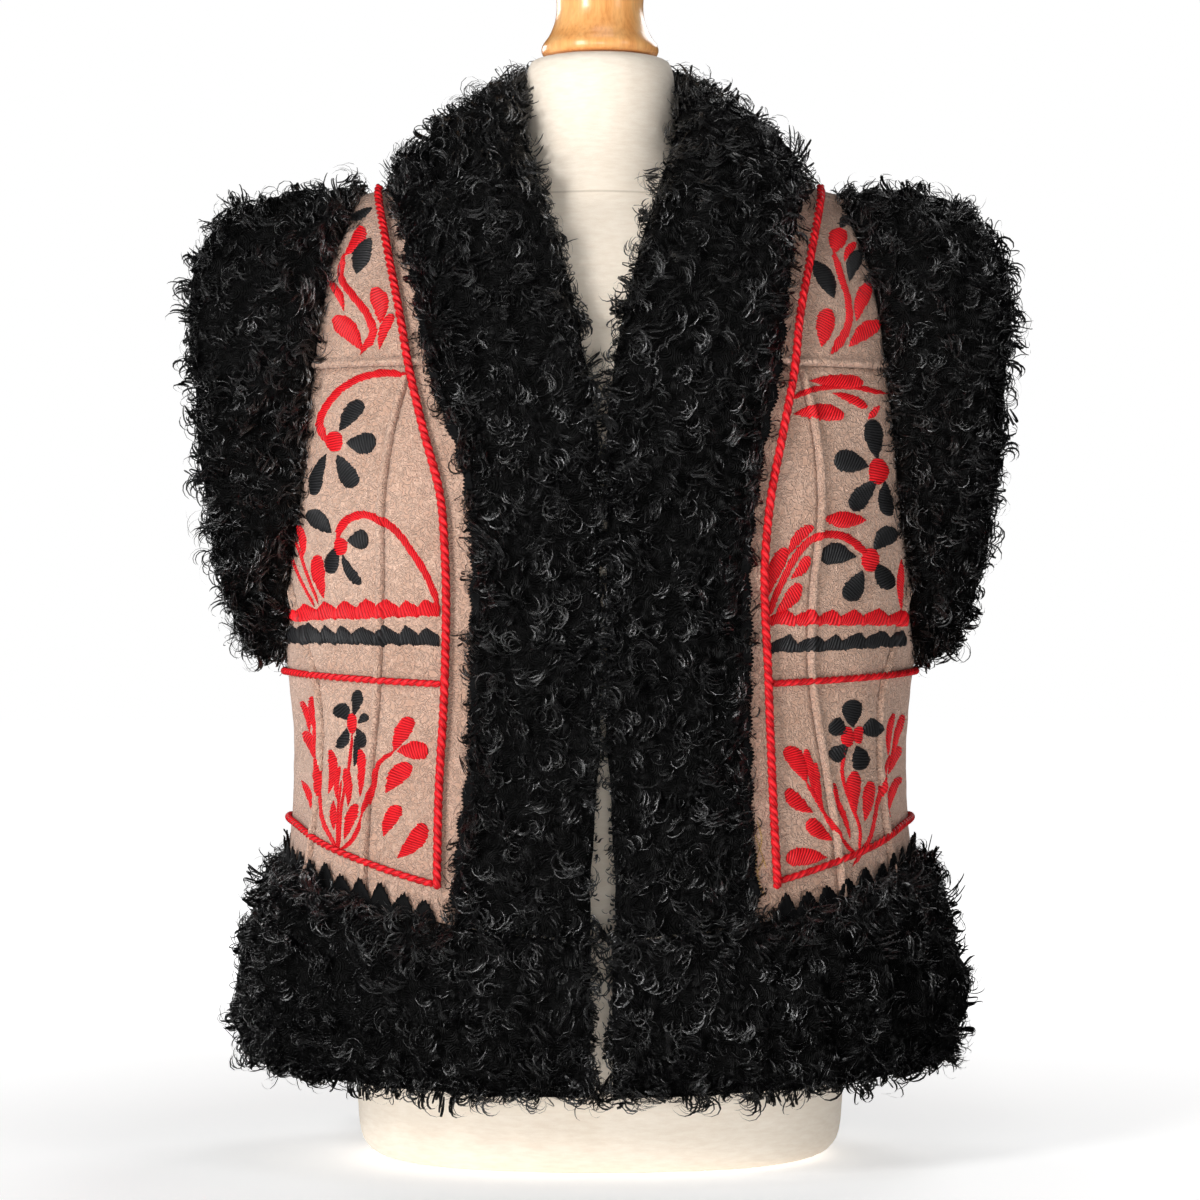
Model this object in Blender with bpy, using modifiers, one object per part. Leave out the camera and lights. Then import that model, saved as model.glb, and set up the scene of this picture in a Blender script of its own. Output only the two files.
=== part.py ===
"""A sleeveless folk vest of suede with curled lambskin edges, on a limbless dress form.

Metres, +Z up. The front faces -Y, and the form stands on z = 0 with its neck on the Z axis.

Every piece of the vest lies on one surface, body_point(q, v). q is the way round the body: 0 at the
front, a quarter turn at the side, half a turn at the back. v is the way down: 0 on the shoulder line,
1 at the chest line and 2 at the floor. Pieces that meet share the points of their common edge.
"""

import math

import bmesh
import bpy
import numpy as np

# Clearances and cloth
GAP = 0.0003
SUEDE = 0.0024
SEAM_RISE = 0.0014
SHARP_EDGE = math.radians(50)

# The surface of the vest
RIDGE = 0.706
CHEST = 0.480
SHOULDER_SLOPE = 0.25
SOFT_NECK = 0.02
ROUNDNESS = 2.3
SHOULDER_FADE = 1.5
QUARTER = math.pi / 2
NUDGE = 0.0001
TINY = 0.000001
SOLVE_STEPS = 30
FINE_STEPS = 400

# height, half width, depth in front, depth behind
BODY = (
    (0.030, 0.238, 0.152, 0.146),
    (0.130, 0.232, 0.150, 0.142),
    (0.200, 0.2185, 0.146, 0.134),
    (0.280, 0.2135, 0.140, 0.127),
    (0.360, 0.2200, 0.137, 0.124),
    (0.480, 0.2220, 0.134, 0.124),
    (0.600, 0.2120, 0.134, 0.124),
    (0.660, 0.1960, 0.134, 0.124),
    (0.706, 0.1780, 0.134, 0.124),
)

# Soft folds, alike on both sides: way round in degrees, height, half width, half height, depth
FOLDS = (
    (55, 0.255, 10, 0.065, 0.0025),
    (74, 0.290, 9, 0.090, -0.0030),
    (108, 0.280, 11, 0.100, 0.0040),
    (132, 0.270, 11, 0.090, -0.0040),
    (180, 0.330, 13, 0.120, -0.0050),
)

# Lines on the vest, for each side: height, distance from the middle on the left and on the right
BAND_EDGE = (
    (0.170, 0.0965, 0.1035),
    (0.225, 0.0915, 0.0990),
    (0.270, 0.0855, 0.0975),
    (0.360, 0.0835, 0.0970),
    (0.415, 0.0825, 0.0975),
    (0.455, 0.0860, 0.1015),
    (0.490, 0.0940, 0.1070),
    (0.520, 0.1060, 0.1135),
    (0.555, 0.1155, 0.1190),
    (0.595, 0.1225, 0.1235),
    (0.640, 0.1330, 0.1300),
    (0.672, 0.1420, 0.1400),
)
PRINCESS = (
    (0.170, 0.1580, 0.1620),
    (0.225, 0.1540, 0.1555),
    (0.280, 0.1500, 0.1470),
    (0.340, 0.1460, 0.1390),
    (0.400, 0.1445, 0.1410),
    (0.450, 0.1440, 0.1460),
    (0.500, 0.1370, 0.1420),
    (0.543, 0.1250, 0.1320),
)
SIDE_SEAM = (
    (0.190, 0.1990, 0.1990),
    (0.250, 0.1900, 0.1900),
    (0.295, 0.1870, 0.1870),
    (0.325, 0.1900, 0.1900),
    (0.360, 0.2015, 0.2015),
    (0.400, 0.2135, 0.2135),
)
ARMHOLE = (
    (0.400, 0.2135, 0.2135),
    (0.454, 0.2045, 0.2045),
    (0.502, 0.1995, 0.1995),
    (0.543, 0.1950, 0.1950),
    (0.584, 0.1900, 0.1900),
    (0.622, 0.1825, 0.1825),
    (0.650, 0.1720, 0.1720),
    (0.672, 0.1690, 0.1690),
)
BORDER = (
    (0.197, 0.1065, 0.1160),
    (0.250, 0.1058, 0.1135),
    (0.333, 0.1018, 0.1105),
    (0.415, 0.1018, 0.1085),
    (0.455, 0.1050, 0.1125),
    (0.500, 0.1165, 0.1210),
    (0.540, 0.1260, 0.1285),
    (0.575, 0.1325, 0.1325),
    (0.615, 0.1410, 0.1405),
    (0.664, 0.1520, 0.1515),
)
BACK_PRINCESS = ((0.170, 0.1000, 0.1000), (0.340, 0.0900, 0.0900), (0.543, 0.1350, 0.1350))

# Inner edge of the collar, by the height of its outer edge: height, then x, y and z of the inner edge
COLLAR_INNER = (
    (0.470, 0.0000, -0.1340, 0.470),
    (0.505, 0.0020, -0.1300, 0.507),
    (0.543, 0.0090, -0.1220, 0.552),
    (0.585, 0.0190, -0.1080, 0.602),
    (0.625, 0.0320, -0.0880, 0.648),
    (0.655, 0.0450, -0.0600, 0.690),
    (0.672, 0.0565, -0.0230, 0.735),
)
CLOSURE = 0.0022
V_POINT = 0.470
OPENING_TOP = 0.290
OPENING_WIDE = 0.200
OPENING = 0.0060
BOW = 0.003

# Outer rim of the armhole fur: height, distance from the middle
ARM_RIM = (
    (0.360, 0.2480),
    (0.386, 0.2590),
    (0.413, 0.2670),
    (0.450, 0.2710),
    (0.490, 0.2770),
    (0.530, 0.2790),
    (0.588, 0.2845),
    (0.630, 0.2755),
    (0.652, 0.2590),
)
ARM_MIDDLE = 0.500
ARM_RIM_TALL = 0.92
ARM_RIM_DEEP = 0.90
# Height on the armhole, how far its fur stands out
ARM_FUR = ((0.348, 0.012), (0.400, 0.017), (0.500, 0.021), (0.620, 0.021), (0.672, 0.016))

YOKE_SEAM = 0.543
ARMHOLE_FOOT = 0.348
ARMPIT = 0.400

# Steps in each run of cloth, and the share of the run beside a raised seam
LOW_STEPS, LOW_SEAM = 11, 0.025
YOKE_STEPS, YOKE_MARGIN = 6, 0.060
FRONT_STEPS, FRONT_MARGIN = 2, 0.14
SIDE_STEPS, SIDE_MARGIN = 3, 0.12
ARM_STEPS = 5
FOOT_STEPS = 8
BACK_YOKE_STEPS = 3
BACK_STEPS = 14
SHOULDER_STEPS = 3
HEM_CORNER_STEPS = 3
FLAT_ROWS = 2

COLLAR_DROP = 0.085
COLLAR_TOP = 0.765
NAPE_RADIUS = 0.0605

# Hem, waist and their rise towards the sides
HEM_TOP = 0.162
HEM_TOP_RISE = 0.046
HEM_FOOT = 0.055
HEM_FOOT_RISE = 0.013
HEM_GAP = {"left": 0.0060, "right": 0.0080}
WAIST = 0.328
WAIST_RISE = 0.009
HEM_CORD = 0.185
HEM_CORD_RISE = 0.050

# Height of the front band's outer edge, how far its fur stands out
BAND_FUR = ((0.180, 0.018), (0.400, 0.018), (0.500, 0.021), (0.600, 0.024), (0.672, 0.025))
COLLAR_FUR = 0.025
HEM_FUR = 0.027
# How deep the fur is behind its edges
FUR_BACK = 0.003
FUR_SIDES = 14
FUR_FULLNESS = 0.75
CURL = 0.10
CURL_WAVES = ((1.9, 2.3), (0.7, -1.7))

# Trims
CORD = 0.0058
CORD_STEP = 0.013
SEAT = 0.0005
SEAT_FADE = 0.10
JOINT = 0.001
PINKED = 0.0012
PINK_STEP = 0.0165
PINK_DEPTH = 0.0095
PINK_LOW = 0.0035
BAND_PINK_STEP = 0.022
BAND_PINK_DEPTH = 0.0068
BAND_PINK_LOW = 0.0025

# Dress form: height, half width, half depth
FORM = (
    (0.000, 0.167, 0.110),
    (0.100, 0.171, 0.115),
    (0.200, 0.161, 0.109),
    (0.300, 0.148, 0.101),
    (0.400, 0.156, 0.107),
    (0.480, 0.166, 0.112),
    (0.600, 0.171, 0.112),
    (0.660, 0.166, 0.112),
    (0.706, 0.152, 0.112),
)
BASE_EDGE = 0.020
BASE_EDGE_ROWS = (0, 0.15, 0.45, 1)
FORM_LOW = 0.05
FORM_LOW_STEPS = 10
FORM_ABOVE_CHEST = 0.9
FORM_COLUMNS = 40
NECK_RADIUS = 0.0525
NECK_TOP = 0.765
CAP_COLUMNS = 32

# Radius and height, top to bottom
NECK_PROFILE = (
    (0.0000, NECK_TOP),
    (0.0470, NECK_TOP),
    (0.0508, NECK_TOP - 0.0022),
    (NECK_RADIUS, NECK_TOP - 0.0070),
    (NECK_RADIUS, 0.7150),
    (0.0545, 0.7000),
    (0.0590, 0.6850),
    (0.0660, 0.6670),
    (0.0680, 0.6300),
    (0.0000, 0.6200),
)
CAP_PROFILE = (
    (0.0000, 0.8380),
    (0.0120, 0.8370),
    (0.0230, 0.8330),
    (0.0300, 0.8260),
    (0.0320, 0.8190),
    (0.0310, 0.8110),
    (0.0303, 0.8040),
    (0.0303, 0.7970),
    (0.0318, 0.7890),
    (0.0355, 0.7800),
    (0.0400, 0.7745),
    (0.0415, 0.7725),
    (0.0415, 0.7690),
    (0.0402, NECK_TOP + 0.0010),
    (0.0390, NECK_TOP + GAP),
    (0.0000, NECK_TOP + GAP),
)

SIDES = {"left": -1, "right": 1}
COLUMN = {"left": 1, "right": 2}


# ---- Curves and the body surface


def smooth(table, column, at):
    """A smooth curve through one column of a table, read by its first column."""
    rows = np.array(table, float)
    x, y = rows[:, 0], rows[:, column]
    slope = np.gradient(y, x)
    at = np.clip(at, x[0], x[-1])
    i = np.clip(np.searchsorted(x, at, side="right") - 1, 0, len(x) - 2)
    step = x[i + 1] - x[i]
    f = (at - x[i]) / step
    start = y[i] * (1 + 2 * f) * (1 - f) ** 2 + step * slope[i] * f * (1 - f) ** 2
    end = y[i + 1] * f**2 * (3 - 2 * f) + step * slope[i + 1] * f**2 * (f - 1)
    return start + end


def centre_height(v, ridge=RIDGE):
    closing = np.cos(np.clip(v, 0, 1) * QUARTER)
    return CHEST + (ridge - CHEST) * closing - np.maximum(v - 1, 0) * CHEST


def way_down(height):
    """v of a height on the middle line."""
    above = np.clip((height - CHEST) / (RIDGE - CHEST), 0, 1)
    return np.where(height > CHEST, np.arccos(above) / QUARTER, 1 + (CHEST - height) / CHEST)


def side_drop(height, x, ridge=RIDGE):
    """How much lower the surface is at x than at the middle, towards the shoulder line."""
    share = np.clip((height - CHEST) / (ridge - CHEST), 0, 1) ** SHOULDER_FADE
    return SHOULDER_SLOPE * share * (np.sqrt(x**2 + SOFT_NECK**2) - SOFT_NECK)


def section_point(q, v, table, ridge, depths):
    """A point of a rounded section that closes to a line at the shoulders."""
    height = centre_height(v, ridge)
    width = smooth(table, 1, height)
    across = np.sin(q)
    flat = (1 - np.minimum(np.abs(across), 1) ** ROUNDNESS) ** (1 / ROUNDNESS)
    closing = np.sin(np.clip(v, 0, 1) * QUARTER)
    front, back = (smooth(table, column, height) * closing for column in depths)
    x = width * across
    y = np.where(np.cos(q) > 0, -front * flat, back * flat)
    return np.stack([x, y, height - side_drop(height, x, ridge)], -1)


def body_point(q, v):
    """The outer face of the suede."""
    q, v = np.broadcast_arrays(np.asarray(q, float), np.asarray(v, float))
    point = section_point(q, v, BODY, RIDGE, (2, 3))
    turn = np.degrees(np.arccos(np.cos(q)))
    out = np.zeros(q.shape)
    for angle, height, wide, tall, depth in FOLDS:
        near = ((turn - angle) / wide) ** 2 + ((point[..., 2] - height) / tall) ** 2
        out = out + depth * np.exp(-near)
    flat = point * (1, 1, 0)
    return point + flat / np.maximum(np.linalg.norm(flat, axis=-1, keepdims=True), GAP) * out[..., None]


def unit(vector):
    return vector / np.maximum(np.linalg.norm(vector, axis=-1, keepdims=True), TINY)


def body_normal(q, v):
    q, v = np.broadcast_arrays(np.asarray(q, float), np.asarray(v, float))
    down = np.maximum(v, NUDGE)
    round_body = body_point(q + NUDGE, down) - body_point(q - NUDGE, down)
    down_body = body_point(q, down + NUDGE) - body_point(q, down - NUDGE)
    return unit(np.cross(unit(down_body), unit(round_body)))


def place(x, z, back=False):
    """q and v of the point at x and height z, for x on the right-hand side."""
    x, z = np.broadcast_arrays(np.asarray(x, float), np.asarray(z, float))
    height = z
    for _ in range(SOLVE_STEPS):
        height = np.minimum(z + side_drop(height, x), RIDGE)
    q = np.arcsin(np.clip(x / smooth(BODY, 1, height), -1, 1))
    return np.stack([math.pi - q if back else q, way_down(height)], -1)


def at_height(q, z):
    """v where the line q is at the height z."""
    q, z = np.broadcast_arrays(np.asarray(q, float), np.asarray(z, float))
    height = z
    for _ in range(SOLVE_STEPS):
        x = smooth(BODY, 1, height) * np.abs(np.sin(q))
        height = np.minimum(z + side_drop(height, x), RIDGE)
    return way_down(height)


def level(low, rise, q):
    return low + rise * np.sin(q) ** 2


def line(table, side, heights, back=False):
    return place(smooth(table, COLUMN[side], heights), heights, back)


# ---- Meshes


def add_mesh(name, vertices, faces, material):
    mesh = bpy.data.meshes.new(name)
    mesh.from_pydata([tuple(map(float, vertex)) for vertex in vertices], [], faces)
    piece = bpy.data.objects.new(name, mesh)
    PARTS.objects.link(piece)
    mesh.materials.append(material)
    mesh.shade_smooth()
    mesh.set_sharp_from_angle(angle=SHARP_EDGE)
    return piece


def mirrored(points, sign):
    return points * (sign, 1, 1)


def turned(faces, sign):
    return faces if sign > 0 else [face[::-1] for face in faces]


def grid_faces(rows, columns, first=0):
    return [
        (
            first + row * columns + column,
            first + row * columns + column + 1,
            first + (row + 1) * columns + column + 1,
            first + (row + 1) * columns + column,
        )
        for row in range(rows - 1)
        for column in range(columns - 1)
    ]


def pulled_in(points, by):
    """The grid with its four edges moved inwards."""
    moved = points.copy()
    moved[0] += unit(points[1] - points[0]) * by
    moved[-1] += unit(points[-2] - points[-1]) * by
    moved[:, 0] += unit(points[:, 1] - points[:, 0]) * by
    moved[:, -1] += unit(points[:, -2] - points[:, -1]) * by
    return moved


def add_wall(name, outer, inner, material, sign=1):
    """A closed wall between two grids whose rows run up and columns run round the body."""
    rows, columns = outer.shape[:2]
    count = rows * columns
    faces = grid_faces(rows, columns)
    faces += [tuple(count + corner for corner in face[::-1]) for face in grid_faces(rows, columns)]
    rim = [column for column in range(columns)]
    rim += [row * columns + columns - 1 for row in range(1, rows)]
    rim += [(rows - 1) * columns + column for column in range(columns - 2, -1, -1)]
    rim += [row * columns for row in range(rows - 2, 0, -1)]
    for here, there in zip(rim, rim[1:] + rim[:1]):
        faces.append((there, here, count + here, count + there))
    vertices = np.concatenate([outer.reshape(-1, 3), inner.reshape(-1, 3)])
    return add_mesh(name, mirrored(vertices, sign), turned(faces, sign), material)


def add_tube(name, rings, material, closed=False, sign=1):
    """A closed body through rings of points; the two ends are capped unless it runs round."""
    count, around = rings.shape[:2]
    vertices = rings.reshape(-1, 3)
    faces = []
    for ring in range(count if closed else count - 1):
        ahead = (ring + 1) % count
        for point in range(around):
            beside = (point + 1) % around
            corners = (ring * around + point, ring * around + beside)
            faces.append((*corners, ahead * around + beside, ahead * around + point))
    if not closed:
        middles = np.stack([rings[0].mean(0), rings[-1].mean(0)])
        vertices = np.concatenate([vertices, middles])
        start, last = count * around, (count - 1) * around
        for point in range(around):
            beside = (point + 1) % around
            faces.append((start, beside, point))
            faces.append((start + 1, last + point, last + beside))
    piece = add_mesh(name, mirrored(vertices, sign), turned(faces, sign), material)
    outward(piece)
    return piece


def outward(piece):
    mesh = bmesh.new()
    mesh.from_mesh(piece.data)
    bmesh.ops.recalc_face_normals(mesh, faces=mesh.faces)
    mesh.to_mesh(piece.data)
    mesh.free()


# ---- Lines of points that pieces share


def seam_shares(count, margin, at_start=False, at_end=False):
    """Shares from 0 to 1, with one more step beside each raised seam."""
    steps = np.linspace(margin if at_start else 0, 1 - margin if at_end else 1, count + 1)
    return np.concatenate([[0.0] * at_start, steps, [1.0] * at_end])


LOW_ROWS = seam_shares(LOW_STEPS, LOW_SEAM, at_end=True)
YOKE_ROWS = seam_shares(YOKE_STEPS, YOKE_MARGIN, at_start=True)
FRONT_COLUMNS = seam_shares(FRONT_STEPS, FRONT_MARGIN, at_end=True)
SIDE_COLUMNS = seam_shares(SIDE_STEPS, SIDE_MARGIN, at_start=True, at_end=True)
ARM_ROWS = np.linspace(0, 1, ARM_STEPS + 1)
SEAM_ROWS = np.linspace(0, 1, len(LOW_ROWS) - ARM_STEPS)
BACK_YOKE_SHARES = np.linspace(0, 1, BACK_YOKE_STEPS + 1)
BACK_SHARES = np.linspace(0, 1, BACK_STEPS + 1)


def up_line(table, side, rows, low, high, back=False):
    """Points up a line of the table, from one height to the other."""
    return line(table, side, low + (high - low) * rows, back)


def hem_height(table, side, back=False):
    """The height at which a line of the table meets the top of the hem band."""
    height = HEM_TOP
    for _ in range(SOLVE_STEPS):
        height = level(HEM_TOP, HEM_TOP_RISE, line(table, side, height, back)[..., 0])
    return float(height)


def hem_run(start, end, shares):
    """Points along the top of the hem band between two values of q."""
    q = start + (end - start) * shares
    return np.stack([q, at_height(q, level(HEM_TOP, HEM_TOP_RISE, q))], -1)


def yoke_run(start, end, shares):
    """Points along the yoke seam between two values of q."""
    q = start + (end - start) * shares
    return np.stack([q, at_height(q, YOKE_SEAM)], -1)


def shoulder_height(x):
    return RIDGE - side_drop(RIDGE, x)


def top_height(table, side):
    """The height at which a line of the table reaches the shoulder line."""
    height = RIDGE
    for _ in range(SOLVE_STEPS):
        height = shoulder_height(smooth(table, COLUMN[side], height))
    return float(height)


def to_shoulder(table, side, back=False):
    """Points up a line from the yoke seam, the last one on the shoulder line."""
    v = line(table, side, YOKE_SEAM, back)[1] * (1 - YOKE_ROWS)
    middle = centre_height(v)
    height = middle
    for _ in range(SOLVE_STEPS):
        x = smooth(table, COLUMN[side], height)
        height = middle - side_drop(middle, x)
    q = np.arcsin(x / smooth(BODY, 1, middle))
    return np.stack([math.pi - q if back else q, v], -1)


def low_edge(table, side):
    """Points up a line of the front, from the hem band to the yoke seam."""
    return up_line(table, side, LOW_ROWS, hem_height(table, side), YOKE_SEAM)


def side_seam(side):
    return up_line(SIDE_SEAM, side, SEAM_ROWS, hem_height(SIDE_SEAM, side), ARMPIT)


def arm_low(side, back=False):
    return up_line(ARMHOLE, side, ARM_ROWS, ARMPIT, YOKE_SEAM, back)


def arm_foot(side):
    """Points under the arm, from the top of the side seam round to the back."""
    start = arm_low(side)[0, 0]
    turn = np.linspace(0, math.pi, FOOT_STEPS + 1)
    q = QUARTER - (QUARTER - start) * np.cos(turn)
    return np.stack([q, at_height(q, ARMPIT - (ARMPIT - ARMHOLE_FOOT) * np.sin(turn))], -1)


def armhole_loop(side):
    """The whole edge of the armhole: up the front, over the shoulder, down the back and under."""
    front = [arm_low(side), to_shoulder(ARMHOLE, side)[1:]]
    back = [to_shoulder(ARMHOLE, side, True)[-2::-1], arm_low(side, True)[-2::-1]]
    return np.concatenate([*front, *back, arm_foot(side)[-2:0:-1]])


def back_princess(side):
    low = hem_height(BACK_PRINCESS, side, True)
    return up_line(BACK_PRINCESS, side, SEAM_ROWS, low, YOKE_SEAM, True)


def back_collar_line(side):
    """The lower edge of the collar from the shoulder line to the middle of the back."""
    reach = smooth(BAND_EDGE, COLUMN[side], top_height(BAND_EDGE, side))
    turn = np.linspace(0, QUARTER, BACK_STEPS // 2 + 1)
    x = reach * np.cos(turn)
    points = place(x, shoulder_height(x) - COLLAR_DROP * np.sin(turn) ** 2, back=True)
    points[0, 1] = 0
    points[-1, 0] = math.pi
    return points


def over(points):
    """Points of the right-hand side, carried over the middle of the back to the left-hand side."""
    return np.stack([2 * math.pi - points[..., 0], points[..., 1]], -1)


# ---- Suede panels


def patch(bottom, top, start, end, across, up):
    """A Coons patch in q and v between four edges that meet at the corners."""
    s, r = across[None, :, None], up[:, None, None]
    sides = (1 - s) * start[:, None] + s * end[:, None]
    ends = (1 - r) * bottom[None] + r * top[None]
    low = (1 - s) * bottom[0] + s * bottom[-1]
    high = (1 - s) * top[0] + s * top[-1]
    return sides + ends - (1 - r) * low - r * high


def add_panel(name, grid, rise=0, sign=1):
    """A suede wall on a grid of q and v, with its outer points raised along its seams."""
    points = pulled_in(body_point(grid[..., 0], grid[..., 1]), GAP / 2)
    normals = body_normal(grid[..., 0], grid[..., 1])
    return add_wall(name, points + normals * rise, points - normals * SUEDE, SUEDE_LOOK, sign)


def flat_rise(grid):
    return np.zeros((*grid.shape[:2], 1))


def add_front(side):
    start, end = low_edge(BAND_EDGE, side), low_edge(PRINCESS, side)
    bottom = hem_run(start[0, 0], end[0, 0], FRONT_COLUMNS)
    top = yoke_run(start[-1, 0], end[-1, 0], FRONT_COLUMNS)
    grid = patch(bottom, top, start, end, FRONT_COLUMNS, LOW_ROWS)
    rise = flat_rise(grid)
    rise[FLAT_ROWS:, -1] = SEAM_RISE
    add_panel("front_" + side, grid, rise, SIDES[side])


def add_side_front(side):
    start = low_edge(PRINCESS, side)
    end = np.concatenate([side_seam(side), arm_low(side)[1:]])
    bottom = hem_run(start[0, 0], end[0, 0], SIDE_COLUMNS)
    top = yoke_run(start[-1, 0], end[-1, 0], SIDE_COLUMNS)
    grid = patch(bottom, top, start, end, SIDE_COLUMNS, LOW_ROWS)
    rise = flat_rise(grid)
    rise[FLAT_ROWS:, 0] = SEAM_RISE
    rise[FLAT_ROWS : len(SEAM_ROWS) - 1, -1] = SEAM_RISE
    rise[-1, :-1] = SEAM_RISE
    add_panel("side_front_" + side, grid, rise, SIDES[side])


def add_yoke(side):
    start, end = to_shoulder(BAND_EDGE, side), to_shoulder(ARMHOLE, side)
    seam = line(PRINCESS, side, YOKE_SEAM)[0]
    low = yoke_run(start[0, 0], seam, FRONT_COLUMNS)
    bottom = np.concatenate([low, yoke_run(seam, end[0, 0], SIDE_COLUMNS)[1:]])
    shares = (bottom[:, 0] - bottom[0, 0]) / (bottom[-1, 0] - bottom[0, 0])
    top = (1 - shares[:, None]) * start[-1] + shares[:, None] * end[-1]
    grid = patch(bottom, top, start, end, shares, 1 - start[:, 1] / start[0, 1])
    rise = flat_rise(grid)
    rise[0, len(FRONT_COLUMNS) - 1 : -1] = SEAM_RISE
    add_panel("yoke_" + side, grid, rise, SIDES[side])


def back_side_top(side):
    """Round under the arm, up the back of the armhole and along the back yoke seam."""
    foot, arm, end = arm_foot(side), arm_low(side, True), back_princess(side)
    return np.concatenate([foot, arm[1:], yoke_run(arm[-1, 0], end[-1, 0], BACK_YOKE_SHARES)[1:]])


def back_side_columns(side):
    return np.linspace(0, 1, len(back_side_top(side)))


def add_back_side(side):
    start, end, top = side_seam(side), back_princess(side), back_side_top(side)
    columns = back_side_columns(side)
    bottom = hem_run(start[0, 0], end[0, 0], columns)
    add_panel("back_side_" + side, patch(bottom, top, start, end, columns, SEAM_ROWS), 0, SIDES[side])


def add_back_centre():
    start, end = back_princess("right"), over(back_princess("left"))
    bottom = hem_run(start[0, 0], end[0, 0], BACK_SHARES)
    top = yoke_run(start[-1, 0], end[-1, 0], BACK_SHARES)
    add_panel("back_centre", patch(bottom, top, start, end, BACK_SHARES, SEAM_ROWS))


def add_back_yoke():
    start, end = to_shoulder(ARMHOLE, "right", True), over(to_shoulder(ARMHOLE, "left", True))
    seams = back_princess("right")[-1, 0], over(back_princess("left"))[-1, 0]
    runs = (
        yoke_run(start[0, 0], seams[0], BACK_YOKE_SHARES),
        yoke_run(seams[0], seams[1], BACK_SHARES)[1:],
        yoke_run(seams[1], end[0, 0], BACK_YOKE_SHARES)[1:],
    )
    bottom = np.concatenate(runs)
    shoulder = np.linspace(0, 1, SHOULDER_STEPS + 1)[:, None]
    right, left = back_collar_line("right"), over(back_collar_line("left"))[::-1]
    tops = (
        (1 - shoulder) * start[-1] + shoulder * right[0],
        right[1:],
        left[1:],
        ((1 - shoulder) * left[-1] + shoulder * end[-1])[1:],
    )
    top = np.concatenate(tops)
    shares = np.linspace(0, 1, len(top))
    rows = 1 - start[:, 1] / start[0, 1]
    add_panel("back_yoke", patch(bottom, top, start, end, shares, rows))


# ---- Lambskin


FUR_TURN = np.linspace(0, 2 * math.pi, FUR_SIDES, endpoint=False)
FUR_SHARES = (1 - np.cos(FUR_TURN)) / 2


def curls(count):
    """An uneven swell of the fur, for each section and each point round it."""
    along, across = np.meshgrid(np.arange(count), np.arange(FUR_SIDES), indexing="ij")
    waves = [ring * along + turn * across for ring, turn in CURL_WAVES]
    return 1 + CURL * np.sin(waves[0]) * np.cos(waves[1])


def fur_sections(base, normals, stands, behind=FUR_BACK):
    """Sections that are full on the outside and shallow behind."""
    swell = np.abs(np.sin(FUR_TURN)) ** FUR_FULLNESS
    stands = np.broadcast_to(np.asarray(stands, float), (len(base),))
    lift = np.where(np.sin(FUR_TURN) > 0, stands[:, None] * curls(len(base)), -behind)
    return base + normals * (lift * swell)[..., None]


def strip_sections(inner, outer, stands, closed=False, bow=0.0):
    """Sections of a band of fur between two edges; the first edge is on the left of its way."""
    if closed:
        along = np.roll(inner + outer, -1, 0) - np.roll(inner + outer, 1, 0)
    else:
        along = np.gradient(inner + outer, axis=0)
    normals = unit(np.cross(outer - inner, along))[:, None]
    share = FUR_SHARES[None, :, None]
    base = inner[:, None] * (1 - share) + outer[:, None] * share
    base = base + normals * bow * 4 * share * (1 - share)
    return fur_sections(base, normals, stands)


def closure_x(side, z):
    """Where the inner edge of a front band is, on its own side of the middle."""
    opened = np.clip((OPENING_TOP - z) / (OPENING_TOP - OPENING_WIDE), 0, 1)
    return SIDES[side] * CLOSURE + GAP / 2 + OPENING * opened


def band_inner(side, heights):
    """The inner edge of a front band, and above the V point of the collar, by the outer edge's height."""
    x = closure_x(side, heights)
    below = place(x, heights)
    on_body = body_point(below[..., 0], below[..., 1])
    fade = np.clip((COLLAR_INNER[2][0] - heights) / (COLLAR_INNER[2][0] - V_POINT), 0, 1)
    free = np.stack([smooth(COLLAR_INNER, column, heights) for column in (1, 2, 3)], -1)
    free[..., 0] += x * fade
    return np.where((heights < V_POINT)[:, None], on_body, free)


def band_edges(side):
    """Inner and outer edges of a front band, from the hem band to the shoulder line."""
    edge = np.concatenate([low_edge(BAND_EDGE, side), to_shoulder(BAND_EDGE, side)[1:]])
    outer = body_point(edge[:, 0], edge[:, 1])
    inner = band_inner(side, outer[:, 2])
    inner[0, 2] = HEM_TOP
    return inner, outer, smooth(BAND_FUR, 1, outer[:, 2])


def collar_edges(side):
    """Inner and outer edges of the collar from the shoulder line to the middle of the back."""
    line_points = back_collar_line(side)
    outer = body_point(line_points[:, 0], line_points[:, 1])
    start = np.array(COLLAR_INNER[-1][1:])
    share = np.linspace(0, 1, len(outer))
    first = math.atan2(start[1], start[0])
    turn = first + (QUARTER - first) * share
    rise = start[2] + (COLLAR_TOP - start[2]) * (1 - (1 - share) ** 2)
    inner = np.stack([NAPE_RADIUS * np.cos(turn), NAPE_RADIUS * np.sin(turn), rise], -1)
    return inner, outer, np.full(len(outer), COLLAR_FUR)


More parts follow.
